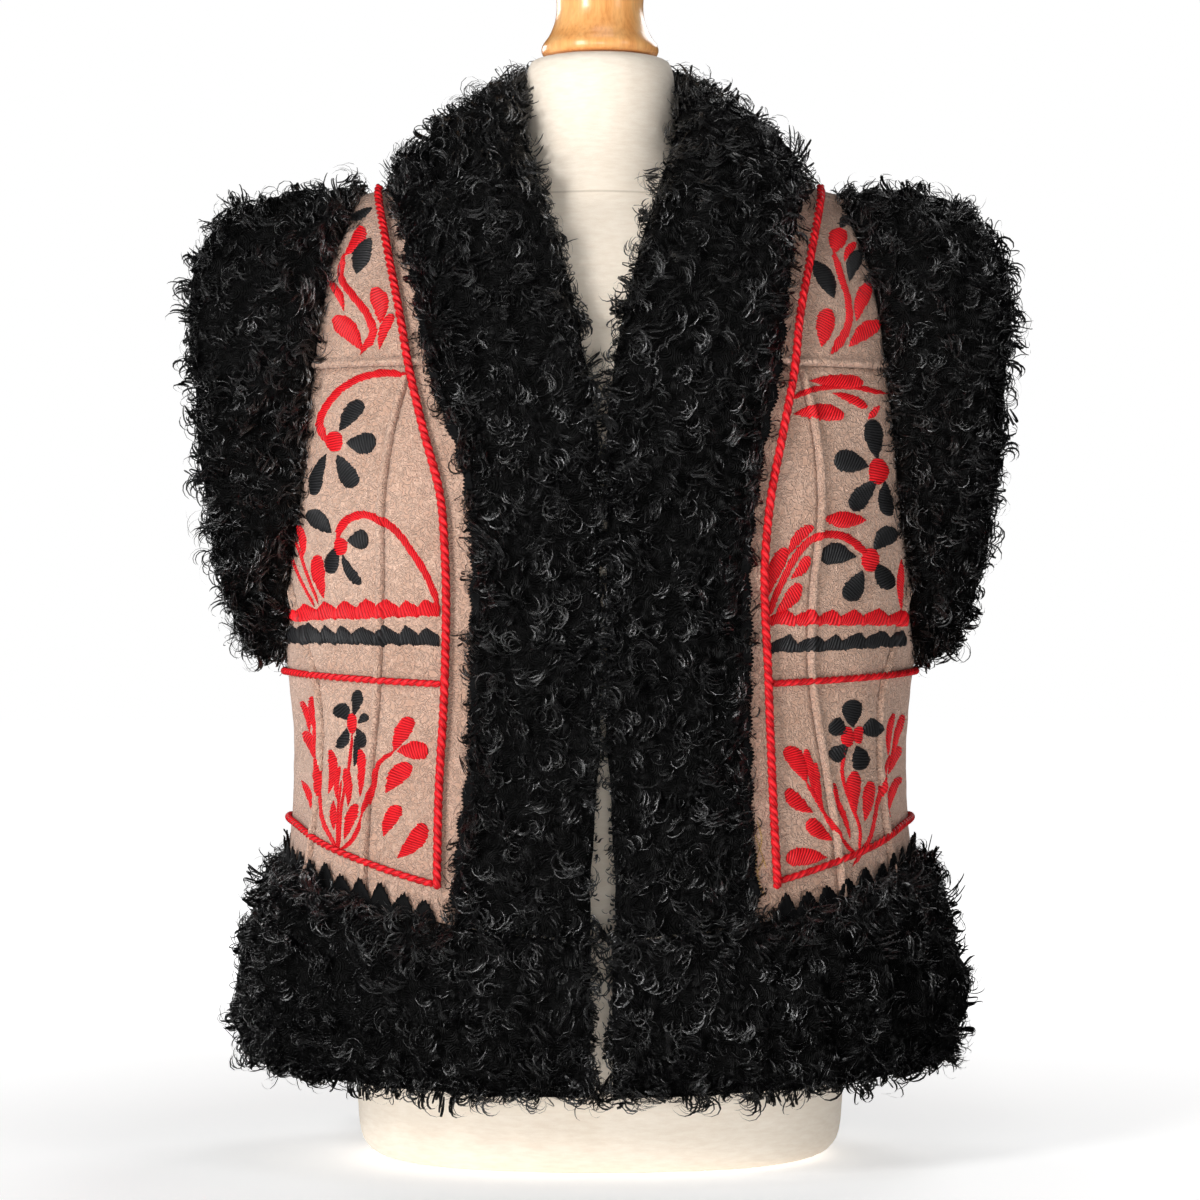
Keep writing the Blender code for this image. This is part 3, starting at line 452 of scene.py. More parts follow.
# side, way round in degrees, height, lean in degrees, half width, half length, depth (metres)
CREASES = (
    ("left", 38, 0.268, 78, 0.006, 0.030, -0.0011),
    ("left", 47, 0.248, 96, 0.007, 0.040, 0.0012),
    ("left", 52, 0.300, 70, 0.007, 0.034, -0.0012),
    ("left", 60, 0.230, 100, 0.006, 0.026, 0.0013),
    ("left", 33, 0.470, 118, 0.006, 0.030, -0.0008),
    ("left", 44, 0.445, 60, 0.006, 0.026, 0.0008),
    ("left", 52, 0.400, 40, 0.006, 0.022, -0.0009),
    ("left", 36, 0.610, 62, 0.007, 0.026, 0.0008),
    ("left", 42, 0.230, 84, 0.005, 0.022, -0.0010),
    ("right", 36, 0.225, 95, 0.005, 0.026, 0.0012),
    ("right", 44, 0.225, 86, 0.005, 0.028, -0.0013),
    ("right", 52, 0.235, 92, 0.005, 0.032, 0.0013),
    ("right", 60, 0.240, 84, 0.006, 0.032, -0.0013),
    ("right", 55, 0.320, 108, 0.007, 0.036, 0.0011),
    ("right", 42, 0.400, 58, 0.006, 0.026, -0.0009),
    ("right", 37, 0.455, 120, 0.006, 0.026, 0.0008),
    ("right", 50, 0.430, 76, 0.007, 0.030, -0.0009),
    ("right", 34, 0.600, 112, 0.007, 0.026, -0.0008),
    ("left", 100, 0.290, 96, 0.009, 0.046, -0.0016),
    ("right", 102, 0.270, 84, 0.009, 0.044, -0.0015),
    ("left", 122, 0.400, 66, 0.009, 0.048, 0.0015),
    ("right", 126, 0.380, 114, 0.009, 0.046, 0.0014),
    ("left", 150, 0.300, 100, 0.010, 0.055, -0.0016),
    ("right", 156, 0.260, 82, 0.010, 0.050, 0.0016),
    ("left", 165, 0.470, 70, 0.010, 0.050, 0.0012),
    ("right", 168, 0.440, 108, 0.010, 0.052, -0.0013),
    ("left", 140, 0.590, 50, 0.009, 0.036, -0.0012),
    ("right", 142, 0.600, 130, 0.009, 0.036, 0.0011),
)


def swell(x, y, z, seed, size):
    """A smooth uneven field between about -1 and 1."""
    rng = np.random.default_rng(seed)
    total = np.zeros(np.shape(x))
    for _ in range(7):
        way = rng.normal(size=3)
        way *= 2 * math.pi / (size * rng.uniform(0.7, 1.5)) / np.linalg.norm(way)
        total = total + np.sin(x * way[0] + y * way[1] + z * way[2] + rng.uniform(0, 6.3))
    return total / 3.2


def welt(distance):
    """A raised strip on the positive side of a seam, and a slit at the seam."""
    inside = np.clip(distance / WELT, 0, 1)
    ridge = WELT_RISE * np.clip(4 * inside * (1 - inside), 0, 1) ** 0.45
    slit = -0.0006 * np.exp(-((distance / 0.0009) ** 2))
    slit = slit - 0.0005 * np.exp(-(((distance - WELT) / 0.0011) ** 2))
    return ridge + slit


def relief(side, q, v):
    """How far the finished suede stands off the plain surface, for q on the right-hand half."""
    q, v = np.broadcast_arrays(np.asarray(q, float), np.asarray(v, float))
    point = body_point(q, v)
    x, y, z = point[..., 0], point[..., 1], point[..., 2]
    shift = 0.0 if side == "left" else 3.7
    out = 0.0004 * swell(x + shift, y, z, 5, 0.045) + 0.00016 * swell(x + shift, y, z, 8, 0.017)
    radius = np.linalg.norm(body_point(q + NUDGE, v) - body_point(q - NUDGE, v), axis=-1) / (2 * NUDGE)
    seams = (
        (PRINCESS, False, 1, z < YOKE_SEAM, QUARTER - q > 0),
        (SIDE_SEAM, False, 1, z < ARMPIT, q > 0.6),
        (BACK_PRINCESS, True, 1, z < YOKE_SEAM, q > QUARTER),
    )
    for table, back, sign, low, near in seams:
        seam_q = line(table, side, z, back)[..., 0]
        distance = (q - seam_q) * radius * sign
        fade = np.where(low & near, 1.0, 0.0)
        wave = np.sin(2 * math.pi * z / PUCKER_STEP + 2 * swell(x, y, z, 3, 0.03))
        out = out + fade * (welt(distance) + PUCKER * wave * np.exp(-np.abs(distance) / PUCKER_REACH))
    above = z - YOKE_SEAM
    wave = np.sin(2 * math.pi * x / PUCKER_STEP + 2 * swell(x, y, z, 4, 0.03))
    out = out + welt(above) + PUCKER * wave * np.exp(-np.abs(above) / PUCKER_REACH)
    turn = np.degrees(q)
    for where, angle, height, lean, wide, long, depth in CREASES:
        if where != side:
            continue
        dx, dz = np.radians(turn - angle) * radius, z - height
        along = dx * math.cos(math.radians(lean)) + dz * math.sin(math.radians(lean))
        across = -dx * math.sin(math.radians(lean)) + dz * math.cos(math.radians(lean))
        out = out + depth * np.exp(-((along / long) ** 2) - (across / wide) ** 2)
    return out


def cloth_point(side, q, v, lift=0.0):
    """A point on the finished suede of one side, lifted off it."""
    flip = q > math.pi
    near_q = np.where(flip, 2 * math.pi - q, q)
    out = relief(side, near_q, v)
    point = body_point(near_q, v) + body_normal(near_q, v) * (out + lift)[..., None]
    return point * (SIDES[side], 1, 1)


# ---- Meshes and materials


def add_mesh(name, vertices, faces, material, uv=None, normals=None):
    """A mesh from arrays; faces is one array of quads or of triangles, or a list of such arrays."""
    blocks = [np.asarray(block, np.int32) for block in (faces if isinstance(faces, list) else [faces])]
    blocks = [block for block in blocks if len(block)]
    mesh = bpy.data.meshes.new(name)
    mesh.vertices.add(len(vertices))
    mesh.vertices.foreach_set("co", np.asarray(vertices, np.float32).ravel())
    corners = np.concatenate([block.ravel() for block in blocks])
    sizes = np.concatenate([np.full(len(block), block.shape[1]) for block in blocks])
    starts = np.concatenate([[0], np.cumsum(sizes)[:-1]])
    mesh.loops.add(len(corners))
    mesh.loops.foreach_set("vertex_index", corners)
    mesh.polygons.add(len(sizes))
    mesh.polygons.foreach_set("loop_start", starts.astype(np.int32))
    mesh.update(calc_edges=True)
    mesh.validate()
    mesh.shade_smooth()
    if uv is not None:
        layer = mesh.uv_layers.new(name="UVMap")
        picked = np.asarray(uv, np.float32)[corners]
        layer.data.foreach_set("uv", picked.ravel())
    if normals is not None:
        mesh.normals_split_custom_set_from_vertices([tuple(n) for n in np.asarray(normals, float)])
    mesh.materials.append(material)
    piece = bpy.data.objects.new(name, mesh)
    bpy.context.scene.collection.objects.link(piece)
    return piece


def grid_quads(rows, columns, wrap=False):
    row, column = np.meshgrid(np.arange(rows - 1), np.arange(columns if wrap else columns - 1), indexing="ij")
    beside = (column + 1) % columns
    corners = (row * columns + column, row * columns + beside)
    far = ((row + 1) * columns + beside, (row + 1) * columns + column)
    return np.stack([*corners, *far], -1).reshape(-1, 4)


def rim_of(rows, columns):
    rim = list(range(columns))
    rim += [row * columns + columns - 1 for row in range(1, rows)]
    rim += [(rows - 1) * columns + column for column in range(columns - 2, -1, -1)]
    rim += [row * columns for row in range(rows - 2, 0, -1)]
    return np.array(rim)


def add_shell(name, outer, inner, material, sign):
    """A thin closed shell between two grids."""
    rows, columns = outer.shape[:2]
    count = rows * columns
    face = grid_quads(rows, columns)
    rim = rim_of(rows, columns)
    ahead = np.roll(rim, -1)
    walls = np.stack([ahead, rim, count + rim, count + ahead], -1)
    faces = np.concatenate([face, count + face[:, ::-1], walls])
    if sign < 0:
        faces = faces[:, ::-1]
    vertices = np.concatenate([outer.reshape(-1, 3), inner.reshape(-1, 3)])
    return add_mesh(name, vertices, faces, material)


class Nodes:
    """A short way to build a material's node tree."""

    def __init__(self, name):
        self.material = bpy.data.materials.new(name)
        self.material.use_nodes = True
        self.tree = self.material.node_tree
        self.shader = self.tree.nodes["Principled BSDF"]
        self.object = self.add("ShaderNodeTexCoord").outputs["Object"]

    def add(self, kind, **settings):
        node = self.tree.nodes.new(kind)
        for key, value in settings.items():
            setattr(node, key, value)
        return node

    def put(self, socket, value):
        if isinstance(value, bpy.types.NodeSocket):
            self.tree.links.new(value, socket)
        else:
            socket.default_value = value

    def uv(self):
        return self.add("ShaderNodeTexCoord").outputs["UV"]

    def mapped(self, vector, scale, rotation=(0, 0, 0)):
        node = self.add("ShaderNodeMapping")
        self.put(node.inputs["Vector"], vector)
        node.inputs["Scale"].default_value = scale
        node.inputs["Rotation"].default_value = rotation
        return node.outputs[0]

    def noise(self, scale, detail=3.0, rough=0.55, vector=None, distortion=0.0):
        node = self.add("ShaderNodeTexNoise")
        self.put(node.inputs["Vector"], vector or self.object)
        node.inputs["Scale"].default_value = scale
        node.inputs["Detail"].default_value = detail
        node.inputs["Roughness"].default_value = rough
        node.inputs["Distortion"].default_value = distortion
        return node.outputs["Fac"]

    def wave(self, scale, vector, distortion=0.0, direction="X", detail=1.0, detail_scale=1.0):
        node = self.add("ShaderNodeTexWave", bands_direction=direction)
        self.put(node.inputs["Vector"], vector)
        node.inputs["Scale"].default_value = scale
        node.inputs["Distortion"].default_value = distortion
        node.inputs["Detail"].default_value = detail
        node.inputs["Detail Scale"].default_value = detail_scale
        return node.outputs["Fac"]

    def ramp(self, factor, *stops):
        node = self.add("ShaderNodeValToRGB")
        self.put(node.inputs[0], factor)
        marks = node.color_ramp.elements
        while len(marks) < len(stops):
            marks.new(0.5)
        for mark, (at, colour) in zip(marks, stops):
            mark.position = at
            mark.color = (*colour, 1) if len(colour) == 3 else colour
        return node.outputs["Color"]

    def math(self, operation, a, b=0.0, c=0.0):
        node = self.add("ShaderNodeMath", operation=operation)
        for socket, value in zip(node.inputs, (a, b, c)):
            self.put(socket, value)
        return node.outputs[0]

    def vector(self, operation, a, b):
        node = self.add("ShaderNodeVectorMath", operation=operation)
        self.put(node.inputs[0], a)
        self.put(node.inputs[1], b)
        return node.outputs["Value" if operation == "DOT_PRODUCT" else "Vector"]

    def clamped(self, value):
        return self.math("MINIMUM", self.math("MAXIMUM", value, 0.0), 1.0)

    def mix(self, factor, a, b, blend="MIX"):
        node = self.add("ShaderNodeMix", data_type="RGBA", blend_type=blend)
        self.put(node.inputs["Factor"], factor)
        self.put(node.inputs["A"], a if isinstance(a, bpy.types.NodeSocket) else (*a, 1))
        self.put(node.inputs["B"], b if isinstance(b, bpy.types.NodeSocket) else (*b, 1))
        return node.outputs["Result"]

    def bump(self, height, strength, distance, below=None):
        node = self.add("ShaderNodeBump")
        node.inputs["Strength"].default_value = strength
        node.inputs["Distance"].default_value = distance
        self.put(node.inputs["Height"], height)
        if below is not None:
            self.put(node.inputs["Normal"], below)
        return node.outputs["Normal"]

    def finish(self, colour, roughness, normal, **fixed):
        self.put(self.shader.inputs["Base Color"], colour)
        self.put(self.shader.inputs["Roughness"], roughness)
        self.put(self.shader.inputs["Normal"], normal)
        for key, value in fixed.items():
            self.shader.inputs[key.replace("_", " ")].default_value = value
        return self.material


def srgb(*levels):
    return tuple(
        (level / 255 / 12.92) if level < 11 else ((level / 255 + 0.055) / 1.055) ** 2.4 for level in levels
    )


WAVE_ONCE = math.pi / 10
HAIR = 0.75


def suede_material():
    n = Nodes("suede")
    broad = n.noise(9, 4, 0.6)
    patch_ = n.noise(38, 5, 0.65)
    nap = n.noise(420, 4, 0.7, distortion=0.6)
    fine = n.noise(1500, 2, 0.6)
    stretched = n.noise(130, 4, 0.6, n.mapped(n.object, (1, 1, 0.35), (0.0, 0.5, 0.0)), 1.2)
    worms = n.noise(190, 1, 0.4, distortion=0.8)
    more = n.noise(235, 1, 0.4, n.mapped(n.object, (1, 1, 1), (0.9, 0.4, 0.7)), 0.8)
    ridge = n.ramp(worms, (0.43, (0, 0, 0)), (0.50, (1, 1, 1)), (0.57, (0, 0, 0)))
    other = n.ramp(more, (0.43, (0, 0, 0)), (0.50, (1, 1, 1)), (0.57, (0, 0, 0)))
    crinkle = n.math("MAXIMUM", ridge, other)
    broad_tones = (0.30, srgb(177, 139, 117)), (0.52, srgb(198, 161, 140)), (0.74, srgb(211, 177, 157))
    tone = n.ramp(broad, *broad_tones)
    tone = n.mix(0.40, tone, n.ramp(patch_, (0.32, srgb(171, 133, 112)), (0.66, srgb(213, 180, 161))))
    tone = n.mix(0.24, tone, n.ramp(nap, (0.34, srgb(152, 116, 97)), (0.66, srgb(219, 188, 170))))
    tone = n.mix(0.18, tone, n.ramp(crinkle, (0.10, srgb(142, 108, 87)), (0.90, srgb(220, 192, 172))))
    rough = n.math("MULTIPLY_ADD", nap, 0.10, 0.84)
    normal = n.bump(stretched, 0.50, 0.0022)
    normal = n.bump(crinkle, 0.80, 0.0012, normal)
    normal = n.bump(nap, 0.45, 0.0006, normal)
    normal = n.bump(fine, 0.30, 0.0002, normal)
    return n.finish(tone, rough, normal, Sheen_Weight=0.20, Sheen_Roughness=0.5, Specular_IOR_Level=0.22)


def fur_material():
    """Hair: the U coordinate counts millimetres across a lock, V runs along it."""
    n = Nodes("lambskin_curls")
    uv = n.uv()
    hairs = n.wave(WAVE_ONCE / HAIR, uv, 1.0, "X", 2.0, 0.5)
    strand = n.noise(0.8, 1, 0.5, n.mapped(uv, (1, 0.02, 1)))
    shade = n.noise(95, 3, 0.6)
    # Painted highlight: the crown of each hair line is coloured lighter than the black between the hairs.
    colour = n.ramp(hairs, (0.25, (0.0004, 0.0004, 0.0004)), (0.95, (0.0110, 0.0108, 0.0113)))
    dark = (0.0006, 0.0006, 0.0007)
    colour = n.mix(0.40, colour, n.ramp(strand, (0.40, dark), (0.66, (0.0150, 0.0147, 0.0152))))
    colour = n.mix(0.25, colour, n.ramp(shade, (0.3, dark), (0.7, (0.0060, 0.0059, 0.0061))))
    rough = n.math("MULTIPLY_ADD", hairs, -0.20, 0.37)
    normal = n.bump(strand, 0.5, 0.0008, n.bump(hairs, 0.9, 0.0008))
    # Painted shade: broad patches of the curls are darkened as shade in the crevices of the pile.
    depth = n.ramp(n.noise(46, 2, 0.5), (0.36, (0.12, 0.12, 0.12)), (0.60, (1, 1, 1)))
    colour = n.mix(1.0, colour, depth, "MULTIPLY")
    return n.finish(colour, rough, normal, Specular_IOR_Level=1.0, IOR=1.62)


BASE_CURLS = 105
BASE_STRAND = 0.0017


def fur_base_material():
    """The depth between the standing locks: curls wound in cells, with strands in each, coloured darker than
    the locks as painted shade, with a painted highlight on one side of each cell and painted shade towards
    its edges.
    """
    n = Nodes("fur_base")
    cells = n.add("ShaderNodeTexVoronoi")
    n.put(cells.inputs["Vector"], n.object)
    n.put(cells.inputs["Scale"], BASE_CURLS)
    local = n.vector("SUBTRACT", n.object, cells.outputs["Position"])
    across = n.vector("DOT_PRODUCT", local, (1.0, 0.8, 0.0))
    up = n.vector("DOT_PRODUCT", local, (0.0, 0.0, 1.0))
    chance = n.vector("DOT_PRODUCT", cells.outputs["Color"], (2 * math.pi, 0.0, 0.0))
    reach = n.math("SQRT", n.math("MULTIPLY_ADD", across, across, n.math("MULTIPLY", up, up)))
    turn = n.math("ARCTAN2", up, across)
    loose = n.noise(170, 3, 0.6)
    phase = n.math("MULTIPLY_ADD", reach, 2 * math.pi / BASE_STRAND, n.math("MULTIPLY", turn, 2.0))
    phase = n.math("MULTIPLY_ADD", loose, 9.0, phase)
    strands = n.math("MULTIPLY_ADD", n.math("SINE", phase), 0.5, 0.5)
    # Painted highlight: the strands of each cell are lit on one side only.
    painted_gleam = n.math("MULTIPLY_ADD", n.math("COSINE", n.math("SUBTRACT", turn, chance)), 0.5, 0.5)
    # Towards each cell's edge: painted shade in the colour, a hollow in the bump.
    hollow_and_painted_shade = n.math("SMOOTH_MAX", n.math("MULTIPLY_ADD", cells.outputs["Distance"], -1.3, 1.0), 0.0, 0.1)
    light = n.math("MULTIPLY", n.math("MULTIPLY", strands, n.math("POWER", painted_gleam, 1.4)), hollow_and_painted_shade)
    colour = n.ramp(light, (0.10, (0.0003, 0.0003, 0.0003)), (0.66, (0.0060, 0.0058, 0.0061)))
    rough = n.math("MULTIPLY_ADD", strands, -0.16, 0.58)
    height = n.math("MULTIPLY_ADD", strands, 0.30, n.math("MULTIPLY", hollow_and_painted_shade, 0.9))
    return n.finish(colour, rough, n.bump(height, 1.0, 0.0050), Specular_IOR_Level=0.22)


def thread_material(name, dark, mid, light, sheen):
    """Floss: the U coordinate counts threads along a shape, V runs across it."""
    n = Nodes(name)
    uv = n.uv()
    threads = n.wave(WAVE_ONCE, uv, 0.25, "X", 1.0)
    drift = n.noise(90, 3, 0.6)
    fibre = n.noise(3.0, 3, 0.6, n.mapped(uv, (2.6, 0.5, 1)))
    # Painted shade and highlight: on satin stitches each thread is coloured darkest at its edges and lightest
    # on its crown.
    colour = n.ramp(threads, (0.02, dark), (0.40, mid), (0.95, light))
    colour = n.mix(0.22, colour, n.ramp(drift, (0.35, dark), (0.65, light)))
    colour = n.mix(0.22, colour, n.ramp(fibre, (0.35, dark), (0.65, light)))
    rough = n.math("MULTIPLY_ADD", fibre, 0.25, 0.40)
    normal = n.bump(fibre, 0.35, 0.0003, n.bump(threads, 0.7, 0.0006))
    return n.finish(colour, rough, normal, Sheen_Weight=sheen, Sheen_Roughness=0.35, Specular_IOR_Level=0.35)


def leather_material():
    n = Nodes("black_leather")
    grain = n.noise(500, 4, 0.6)
    wear = n.noise(60, 3, 0.6)
    colour = n.ramp(wear, (0.3, srgb(4, 4, 5)), (0.7, srgb(13, 13, 14)))
    normal = n.bump(grain, 0.4, 0.0003)
    return n.finish(colour, n.math("MULTIPLY_ADD", grain, 0.2, 0.60), normal, Specular_IOR_Level=0.12)


NECK_SEAM = 0.665
NECK_SEAM_DROOP = 0.01
NECK_SEAM_WIDE = 0.0011


def form_material():
    n = Nodes("form_cover")
    warp = n.wave(620, n.object, 0.6, "X", 1.0)
    weft = n.wave(620, n.object, 0.6, "Z", 1.0)
    weave = n.math("MULTIPLY", warp, weft)
    slub = n.noise(240, 4, 0.6, n.mapped(n.object, (0.4, 0.4, 1.6)))
    broad = n.noise(12, 3, 0.5)
    colour = n.ramp(broad, (0.3, srgb(239, 225, 207)), (0.7, srgb(246, 235, 220)))
    colour = n.mix(0.30, colour, n.ramp(slub, (0.35, srgb(224, 206, 184)), (0.65, srgb(248, 238, 222))))
    split = n.add("ShaderNodeSeparateXYZ")
    n.put(split.inputs[0], n.object)
    droop = n.math("MULTIPLY", n.math("ABSOLUTE", split.outputs["X"]), NECK_SEAM_DROOP)
    off = n.math("ABSOLUTE", n.math("ADD", n.math("SUBTRACT", split.outputs["Z"], NECK_SEAM), droop))
    near = n.math("SUBTRACT", 1.0, n.math("MINIMUM", n.math("DIVIDE", off, NECK_SEAM_WIDE), 1.0))
    colour = n.mix(n.math("MULTIPLY", near, 0.55), colour, srgb(176, 160, 140))
    weave = n.math("SUBTRACT", weave, n.math("MULTIPLY", near, 2.0))
    normal = n.bump(slub, 0.30, 0.0005, n.bump(weave, 0.35, 0.0003))
    rough = n.math("MULTIPLY_ADD", slub, 0.1, 0.80)
    return n.finish(colour, rough, normal, Sheen_Weight=0.15, Sheen_Roughness=0.5, Specular_IOR_Level=0.3)


def wood_material():
    n = Nodes("turned_wood")
    grain = n.noise(26, 6, 0.62, n.mapped(n.object, (1.6, 1.6, 0.28)), 1.2)
    pores = n.noise(300, 3, 0.6, n.mapped(n.object, (1.5, 1.5, 0.12)))
    turned_lines = n.wave(520, n.object, 0.8, "Z", 1.0)
    grain_tones = (0.28, srgb(220, 138, 70)), (0.50, srgb(242, 172, 102)), (0.74, srgb(252, 202, 138))
    colour = n.ramp(grain, *grain_tones)
    colour = n.mix(0.22, colour, n.ramp(pores, (0.36, srgb(170, 88, 34)), (0.6, srgb(250, 190, 118))))
    normal = n.bump(turned_lines, 0.08, 0.0002, n.bump(grain, 0.12, 0.0004))
    rough = n.math("MULTIPLY_ADD", pores, 0.12, 0.24)
    return n.finish(colour, rough, normal, Coat_Weight=0.5, Coat_Roughness=0.12, Specular_IOR_Level=0.5)


SUEDE_LOOK = suede_material()
FUR_LOOK = fur_material()
FUR_BASE_LOOK = fur_base_material()
RED_LOOK = thread_material("red_floss", srgb(128, 0, 8), srgb(230, 8, 24), srgb(252, 26, 38), 0.0)
BLACK_LOOK = thread_material("black_floss", srgb(8, 8, 9), srgb(26, 26, 27), srgb(46, 46, 48), 0.0)
CORD_LOOK = thread_material("red_cord", srgb(150, 2, 12), srgb(230, 9, 25), srgb(250, 28, 40), 0.0)
GOLD_LOOK = thread_material("gold_thread", srgb(150, 100, 40), srgb(205, 160, 90), srgb(232, 200, 140), 0.2)
LEATHER_LOOK = leather_material()
FORM_LOOK = form_material()
WOOD_LOOK = wood_material()

# ---- Suede panels: thin shells, finer and more creased than the solids


def pulled_in(points, by):
    moved = points.copy()
    moved[0] += unit(points[1] - points[0]) * by
    moved[-1] += unit(points[-2] - points[-1]) * by
    moved[:, 0] += unit(points[:, 1] - points[:, 0]) * by
    moved[:, -1] += unit(points[:, -2] - points[:, -1]) * by
    return moved


def finished(side, grid):
    """Outer and inner points of the suede on a grid of q and v."""
    q, v = grid[..., 0], grid[..., 1]
    half = np.where(q > math.pi, 2 * math.pi - q, q)
    if side == "both":
        out = np.where(q > math.pi, relief("left", half, v), relief("right", half, v))
        sign = 1
    else:
        out = relief(side, half, v)
        sign = SIDES[side]
    points = pulled_in(body_point(q, v), GAP / 2)
    normals = body_normal(q, v)
    outer = points + normals * out[..., None]
    inner = points - normals * SUEDE
    return outer * (sign, 1, 1), inner * (sign, 1, 1), sign


def add_panel(name, side, grid, flat, area):
    outer, inner, sign = finished(side, grid)
    piece = add_shell(name + "_suede", outer, inner, SUEDE_LOOK, sign)
    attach(piece, "root")
    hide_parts(name)
    SHEETS.append((piece, flat, area))


SHEETS = []


def panel_grids(side):
    band, princess = low_edge(BAND_EDGE, side), low_edge(PRINCESS, side)
    front = patch(
        hem_run(band[0, 0], princess[0, 0], FRONT_COLUMNS),
        yoke_run(band[-1, 0], princess[-1, 0], FRONT_COLUMNS),
        band,
        princess,
        FRONT_COLUMNS,
        LOW_ROWS,
    )
    end = np.concatenate([side_seam(side), arm_low(side)[1:]])
    side_front = patch(
        hem_run(princess[0, 0], end[0, 0], SIDE_COLUMNS),
        yoke_run(princess[-1, 0], end[-1, 0], SIDE_COLUMNS),
        princess,
        end,
        SIDE_COLUMNS,
        LOW_ROWS,
    )
    start, end = to_shoulder(BAND_EDGE, side), to_shoulder(ARMHOLE, side)
    shares = np.linspace(0, 1, 31)
    bottom = yoke_run(start[0, 0], end[0, 0], shares)
    top = (1 - shares[:, None]) * start[-1] + shares[:, None] * end[-1]
    yoke = patch(bottom, top, start, end, shares, 1 - start[:, 1] / start[0, 1])
    foot, arm, end = arm_foot(side), arm_low(side, True), back_princess(side)
    top = np.concatenate([foot, arm[1:], yoke_run(arm[-1, 0], end[-1, 0], BACK_YOKE_SHARES)[1:]])
    columns = np.linspace(0, 1, len(top)) ** 1.4
    seam = side_seam(side)
    back_side = patch(hem_run(seam[0, 0], end[0, 0], columns), top, seam, end, columns, SEAM_ROWS)
    return front, side_front, yoke, back_side


def back_centre_grid():
    start, end = back_princess("right"), over(back_princess("left"))
    bottom = hem_run(start[0, 0], end[0, 0], BACK_SHARES)
    top = yoke_run(start[-1, 0], end[-1, 0], BACK_SHARES)
    return patch(bottom, top, start, end, BACK_SHARES, SEAM_ROWS)


def back_yoke_grid():
    start, end = to_shoulder(ARMHOLE, "right", True), over(to_shoulder(ARMHOLE, "left", True))
    seams = back_princess("right")[-1, 0], over(back_princess("left"))[-1, 0]
    runs = (
        yoke_run(start[0, 0], seams[0], BACK_YOKE_SHARES),
        yoke_run(seams[0], seams[1], BACK_SHARES)[1:],
        yoke_run(seams[1], end[0, 0], BACK_YOKE_SHARES)[1:],
    )
    bottom = np.concatenate(runs)
    spare = (len(bottom) - len(BACK_SHARES)) // 2
    shoulder = np.linspace(0, 1, spare + 1)[:, None]
    right, left = back_collar_line("right"), over(back_collar_line("left"))[::-1]
    tops = (
        (1 - shoulder) * start[-1] + shoulder * right[0],
        right[1:],
        left[1:],
        ((1 - shoulder) * left[-1] + shoulder * end[-1])[1:],
    )
    top = np.concatenate(tops)
    shares = np.linspace(0, 1, len(top))
    return patch(bottom, top, start, end, shares, 1 - start[:, 1] / start[0, 1])


def cut_size(points):
    """Width, length and area of the cloth of a panel, laid flat."""
    width = np.linalg.norm(np.diff(points, axis=1), axis=-1).sum(1).max()
    length = np.linalg.norm(np.diff(points, axis=0), axis=-1).sum(0).max()
    along, across = np.diff(points, axis=0)[:, :-1], np.diff(points, axis=1)[:-1]
    area = np.linalg.norm(np.cross(along, across), axis=-1).sum()
    return float(width), float(length), float(area)


PANELS = {}
for side in SIDES:
    for name, grid in zip(("front", "side_front", "yoke", "back_side"), panel_grids(side)):
        PANELS[name + "_" + side] = (side, grid)
PANELS["back_centre"] = ("both", back_centre_grid())
PANELS["back_yoke"] = ("both", back_yoke_grid())
for name, (side, grid) in PANELS.items():
    wide, long, area = cut_size(body_point(grid[..., 0], grid[..., 1]))
    add_panel(name, side, grid, (wide, long), area)

# ---- Lambskin


def closure_x(side, z):
    opened = np.clip((OPENING_TOP - z) / (OPENING_TOP - OPENING_WIDE), 0, 1)
    return SIDES[side] * CLOSURE + GAP / 2 + OPENING * opened


def band_edges(side):
    edge = np.concatenate([low_edge(BAND_EDGE, side), to_shoulder(BAND_EDGE, side)[1:]])
    outer = body_point(edge[:, 0], edge[:, 1])
    heights = outer[:, 2]
    x = closure_x(side, heights)
    below = place(x, heights)
    on_body = body_point(below[..., 0], below[..., 1])
    fade = np.clip((COLLAR_INNER[2][0] - heights) / (COLLAR_INNER[2][0] - V_POINT), 0, 1)
    free = np.stack([smooth(COLLAR_INNER, column, heights) for column in (1, 2, 3)], -1)
    free[..., 0] += x * fade
    inner = np.where((heights < V_POINT)[:, None], on_body, free)
    inner[0, 2] = HEM_TOP
    return inner, outer, smooth(BAND_FUR, 1, heights)


def collar_edges(side):
    edge = back_collar_line(side)
    outer = body_point(edge[:, 0], edge[:, 1])
    start = np.array(COLLAR_INNER[-1][1:])
    share = np.linspace(0, 1, len(outer))
    first = math.atan2(start[1], start[0])
    turn = first + (QUARTER - first) * share
    rise = start[2] + (COLLAR_TOP - start[2]) * (1 - (1 - share) ** 2)
    inner = np.stack([NAPE_RADIUS * np.cos(turn), NAPE_RADIUS * np.sin(turn), rise], -1)
    return inner, outer, np.full(len(outer), COLLAR_FUR)


def even_run(arrays, closed=False):
    """The same lines resampled so that their middle moves on by even steps."""
    middle = (arrays[0] + arrays[1]) / 2
    if closed:
        middle = np.concatenate([middle, middle[:1]])
        arrays = [np.concatenate([a, a[:1]]) for a in arrays]
    length = walked_along(middle)
    count = max(4, round(length[-1] / FUR_STEP))
    at = np.linspace(0, length[-1], count + 1)
    if closed:
        at = at[:-1]
    picked = []
    for a in arrays:
        if a.ndim == 1:
            picked.append(np.interp(at, length, a))
        else:
            picked.append(np.stack([np.interp(at, length, a[:, i]) for i in range(3)], -1))
    return picked


def strip_frame(inner, outer, closed):
    if closed:
        along = np.roll(inner + outer, -1, 0) - np.roll(inner + outer, 1, 0)
    else:
        along = np.gradient(inner + outer, axis=0)
    return unit(np.cross(outer - inner, along))


